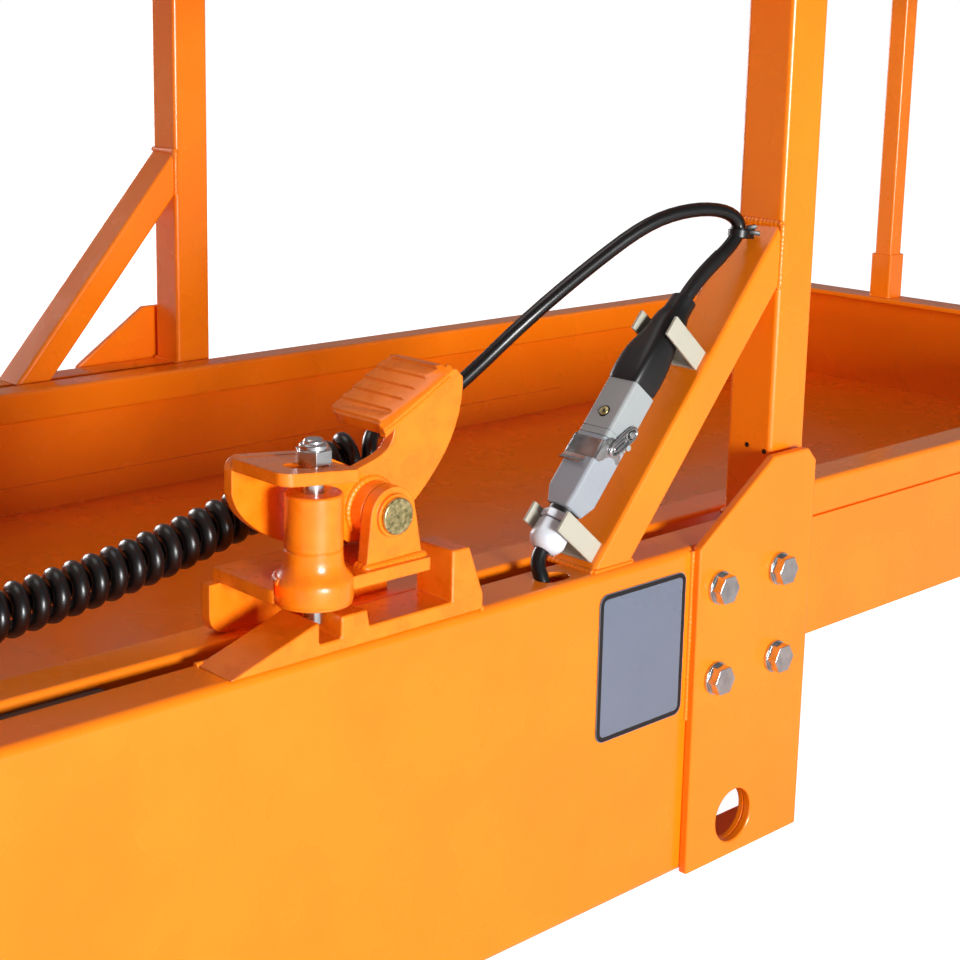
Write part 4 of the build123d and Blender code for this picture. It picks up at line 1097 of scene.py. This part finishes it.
# ------------------------------------------------------------------ cords
@dataclass
class ControlCord:
    """Control cord: plain lead from the plug's boot, long curly part, and tail into the control box."""

    diameter: float = 0.010
    coil_radius: float = 0.0112
    pitch: float = 0.0128
    per_turn: int = 12
    ease_steps: int = 7
    lead: tuple = (
        (0.2354, -0.378, 0.4113), (0.2400, -0.378, 0.4166), (0.2585, -0.378, 0.4305),
        (0.2862, -0.378, 0.4462), (0.2943, -0.378, 0.4597), (0.2795, -0.375, 0.4700),
        (0.252, -0.367, 0.4715), (0.220, -0.357, 0.4635), (0.183, -0.345, 0.4395),
        (0.130, -0.331, 0.402), (0.093, -0.311, 0.362), (0.0723, -0.297, 0.3424),
    )
    curl: tuple = (
        (0.050, -0.294, 0.334), (0.005, -0.288, 0.317), (-0.060, -0.286, 0.2965), (-0.170, -0.286, 0.272),
        (-0.340, -0.286, 0.2575), (-0.520, -0.286, 0.273), (-0.700, -0.286, 0.320), (-0.880, -0.286, 0.400),
        (-1.050, -0.286, 0.509), (-1.180, -0.286, 0.616), (-1.214, -0.286, 0.648),
    )
    tail: tuple = ((-1.227, -0.286, 0.6602), (-1.237, -0.286, 0.674), (-1.237, -0.286, 0.692))

    def spine(self) -> list[Vector]:
        """Follow the curly part's route.

        Returns:
            Points along its smooth line, close together.
        """
        route = curve("curl_route", self.curl, 0.0, steps=24)
        bpy.context.view_layer.update()
        mesh = bpy.data.meshes.new_from_object(route.evaluated_get(bpy.context.evaluated_depsgraph_get()))
        points = [vertex.co.copy() for vertex in mesh.vertices]
        bpy.data.objects.remove(route)
        bpy.data.meshes.remove(mesh)
        return points

    def stations(self, total: float) -> list[float]:
        """Share the line out between the winding's points, with its first and last ones drawn out.

        Args:
            total: Length of the line.

        Returns:
            Distance of each point along the line.
        """
        advance = self.pitch / self.per_turn
        swing = self.coil_radius * math.tau / self.per_turn
        chord = math.hypot(swing, advance)
        drawn_out = [math.sqrt(chord ** 2 - (swing * (step + 0.5) / self.ease_steps) ** 2)
                     for step in range(self.ease_steps)]
        plain = round((total - 2 * sum(drawn_out)) / advance)
        walk = list(accumulate(drawn_out + [advance] * plain + drawn_out[::-1], initial=0.0))
        return [distance * total / walk[-1] for distance in walk]

    def helix(self) -> list[Vector]:
        """Wind the cord round the curly part's line.

        Returns:
            Control points of the winding.
        """
        line = self.spine()
        paces = ((after - before).length for before, after in zip(line, line[1:]))
        walk = list(accumulate(paces, initial=0.0))
        stations = self.stations(walk[-1])
        points = []
        at = 0
        for step, distance in enumerate(stations):
            while at < len(walk) - 2 and walk[at + 1] < distance:
                at += 1
            share = (distance - walk[at]) / (walk[at + 1] - walk[at])
            middle = line[at].lerp(line[at + 1], share)
            along = (line[at + 1] - line[at]).normalized()
            across = along.cross(Vector((0, 0, 1))).normalized()
            upward = across.cross(along)
            ease = min(1.0, step / self.ease_steps, (len(stations) - 1 - step) / self.ease_steps)
            angle = math.tau * step / self.per_turn
            radius = self.coil_radius * ease
            points.append(middle + (across * math.cos(angle) + upward * math.sin(angle)) * radius)
        return points

    def build(self) -> None:
        """Make the whole cord as one piece."""
        points = (*self.lead, *self.helix(), *self.tail)
        run_cord("control_cord", points, self.diameter, "control_cable", "coil_cord", "control_tail")


@dataclass
class SupplyCable:
    """Short cable from the plug's gland down through the flange."""

    diameter: float = 0.010
    route: tuple = (
        (0.1018, -0.378, 0.2584), (0.0960, -0.378, 0.2516), (0.0957, -0.3885, 0.237), (0.0965, -0.388, 0.204),
        (0.1008, -0.387, 0.152), (0.0993, -0.3865, 0.076), (0.0993, -0.3865, 0.026),
    )

    def build(self) -> None:
        """Make the cable."""
        run_cord("supply_lead", self.route, self.diameter, "supply_cable")


def run_cord(name: str, points: tuple, diameter: float, *nodes: str) -> None:
    """Args:
        name: Piece name.
        points: Control points in metres, from its plug on.
        diameter: Cord diameter.
        *nodes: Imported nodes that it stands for.
    """
    piece = curve(name, points, diameter / 2)
    own(piece, CABLE_BLACK, *nodes)


# ------------------------------------------------------------------ studio
@dataclass(frozen=True)
class Lamp:
    """One soft square lamp: where it hangs, the point that it faces, its side in metres and its power."""

    name: str
    place: tuple
    aim: tuple
    size: float
    watts: float

    def hang(self) -> None:
        """Add the lamp to the scene."""
        data = bpy.data.lights.new(self.name, "AREA")
        data.size = self.size
        data.energy = self.watts
        lamp = link(self.name, data)
        lamp.location = self.place
        lamp.rotation_mode = "QUATERNION"
        lamp.rotation_quaternion = (Vector(self.aim) - Vector(self.place)).to_track_quat("-Z", "Y")


@dataclass
class Studio:
    """Pale floor, soft lamps and the camera; angles are in degrees."""

    lens_mm: float = 66.0
    heading: float = 43.277
    dip: float = 11.572
    roll: float = 1.094
    place: tuple = (-0.6907, -1.1451, 0.5987)
    shift: tuple = (0.0141, -0.1076)
    floor_half: float = 30.0
    floor_gap: float = 0.001
    fill: float = 0.1
    lamps: tuple = (
        Lamp("key", (-0.65, -4.0, 0.6), (0.15, -0.4, 0.35), 0.9, 190),
        Lamp("top", (-0.4, 0.6, 3.0), (0.0, 0.0, 0.3), 1.6, 15),
        Lamp("back", (0.4, 4.4, 0.9), (0.2, 0.3, 0.45), 1.6, 95),
    )

    def camera(self) -> None:
        """Set the camera."""
        data = bpy.data.cameras.new("camera")
        data.lens = self.lens_mm
        data.shift_x, data.shift_y = self.shift
        data.clip_start = 0.05
        data.clip_end = 60
        turn, dip, roll = (math.radians(value) for value in (self.heading, self.dip, self.roll))
        ahead = Vector((math.sin(turn) * math.cos(dip), math.cos(turn) * math.cos(dip), -math.sin(dip)))
        right = ahead.cross(Vector((0, 0, 1))).normalized()
        upward = right.cross(ahead)
        right, upward = (
            right * math.cos(roll) + upward * math.sin(roll),
            upward * math.cos(roll) - right * math.sin(roll),
        )
        camera = link("camera", data)
        camera.matrix_world = placed((right, upward, -ahead, Vector(self.place)))
        bpy.context.scene.camera = camera

    def seen(self, tree: bpy.types.NodeTree, unseen: float, mirrored: float,
             shown: float) -> bpy.types.NodeSocket:
        """Tell rays that show a surface from rays that it lights.

        Args:
            tree: Node tree that takes the nodes.
            unseen: Strength for the rays that carry light on.
            mirrored: Strength for reflections.
            shown: Strength for the camera.

        Returns:
            The strength.
        """
        path = add_node(tree, "LightPath")
        rays = {0: path.outputs["Is Camera Ray"], 1: path.outputs["Is Transmission Ray"]}
        clear = add_node(tree, "Math", rays, settings={"operation": "MAXIMUM"})
        plain = add_node(tree, "MapRange", {"Value": path.outputs["Is Glossy Ray"]},
                         values={"To Min": unseen, "To Max": mirrored})
        return add_node(tree, "MapRange", {"Value": clear.outputs[0], "To Min": plain.outputs["Result"]},
                        values={"To Max": shown}).outputs["Result"]

    def floor(self) -> None:
        """Add the pale floor, which shows white round the object and keeps its shadow."""
        bed = bmesh.new()
        bmesh.ops.create_grid(bed, x_segments=1, y_segments=1, size=self.floor_half)
        mesh = bpy.data.meshes.new("floor")
        bed.to_mesh(mesh)
        bed.free()
        floor = link("floor", mesh)
        floor.location.z = -self.floor_gap
        material = bpy.data.materials.new("pale_floor")
        material.use_nodes = True
        tree = material.node_tree
        shader = tree.nodes["Principled BSDF"]
        shader.inputs["Base Color"].default_value = linear("F4F4F4")
        shader.inputs["Roughness"].default_value = 0.9
        shader.inputs["Emission Color"].default_value = linear("FFFFFF")
        tree.links.new(self.seen(tree, 0.0, 0.2, 0.93), shader.inputs["Emission Strength"])
        mesh.materials.append(material)

    def world(self) -> None:
        """Set the room's light and the white that shows behind the object."""
        world = bpy.data.worlds.new("room")
        bpy.context.scene.world = world
        world.use_nodes = True
        tree = world.node_tree
        tree.nodes.clear()
        background = add_node(tree, "Background", {"Strength": self.seen(tree, self.fill, 0.24, 1.0)},
                              values={"Color": (1, 1, 1, 1)})
        add_node(tree, "OutputWorld", {"Surface": background.outputs["Background"]})

    def build(self) -> None:
        """Set the whole studio."""
        self.camera()
        self.floor()
        self.world()
        for lamp in self.lamps:
            lamp.hang()
        bpy.context.scene.view_settings.view_transform = "Standard"


def main() -> None:
    """Build the studio and every piece."""
    logging.basicConfig(level=logging.INFO, format="%(message)s")
    Studio().build()
    ControlCord().build()
    SupplyCable().build()
    solids = Solids()
    solids.dress()
    PedalCasting().build(solids)
    Welds().build()
    Connector(BraceFrame()).build()
    PostHoles().build()
    SignPlate().build()


if __name__ == "__main__":
    main()
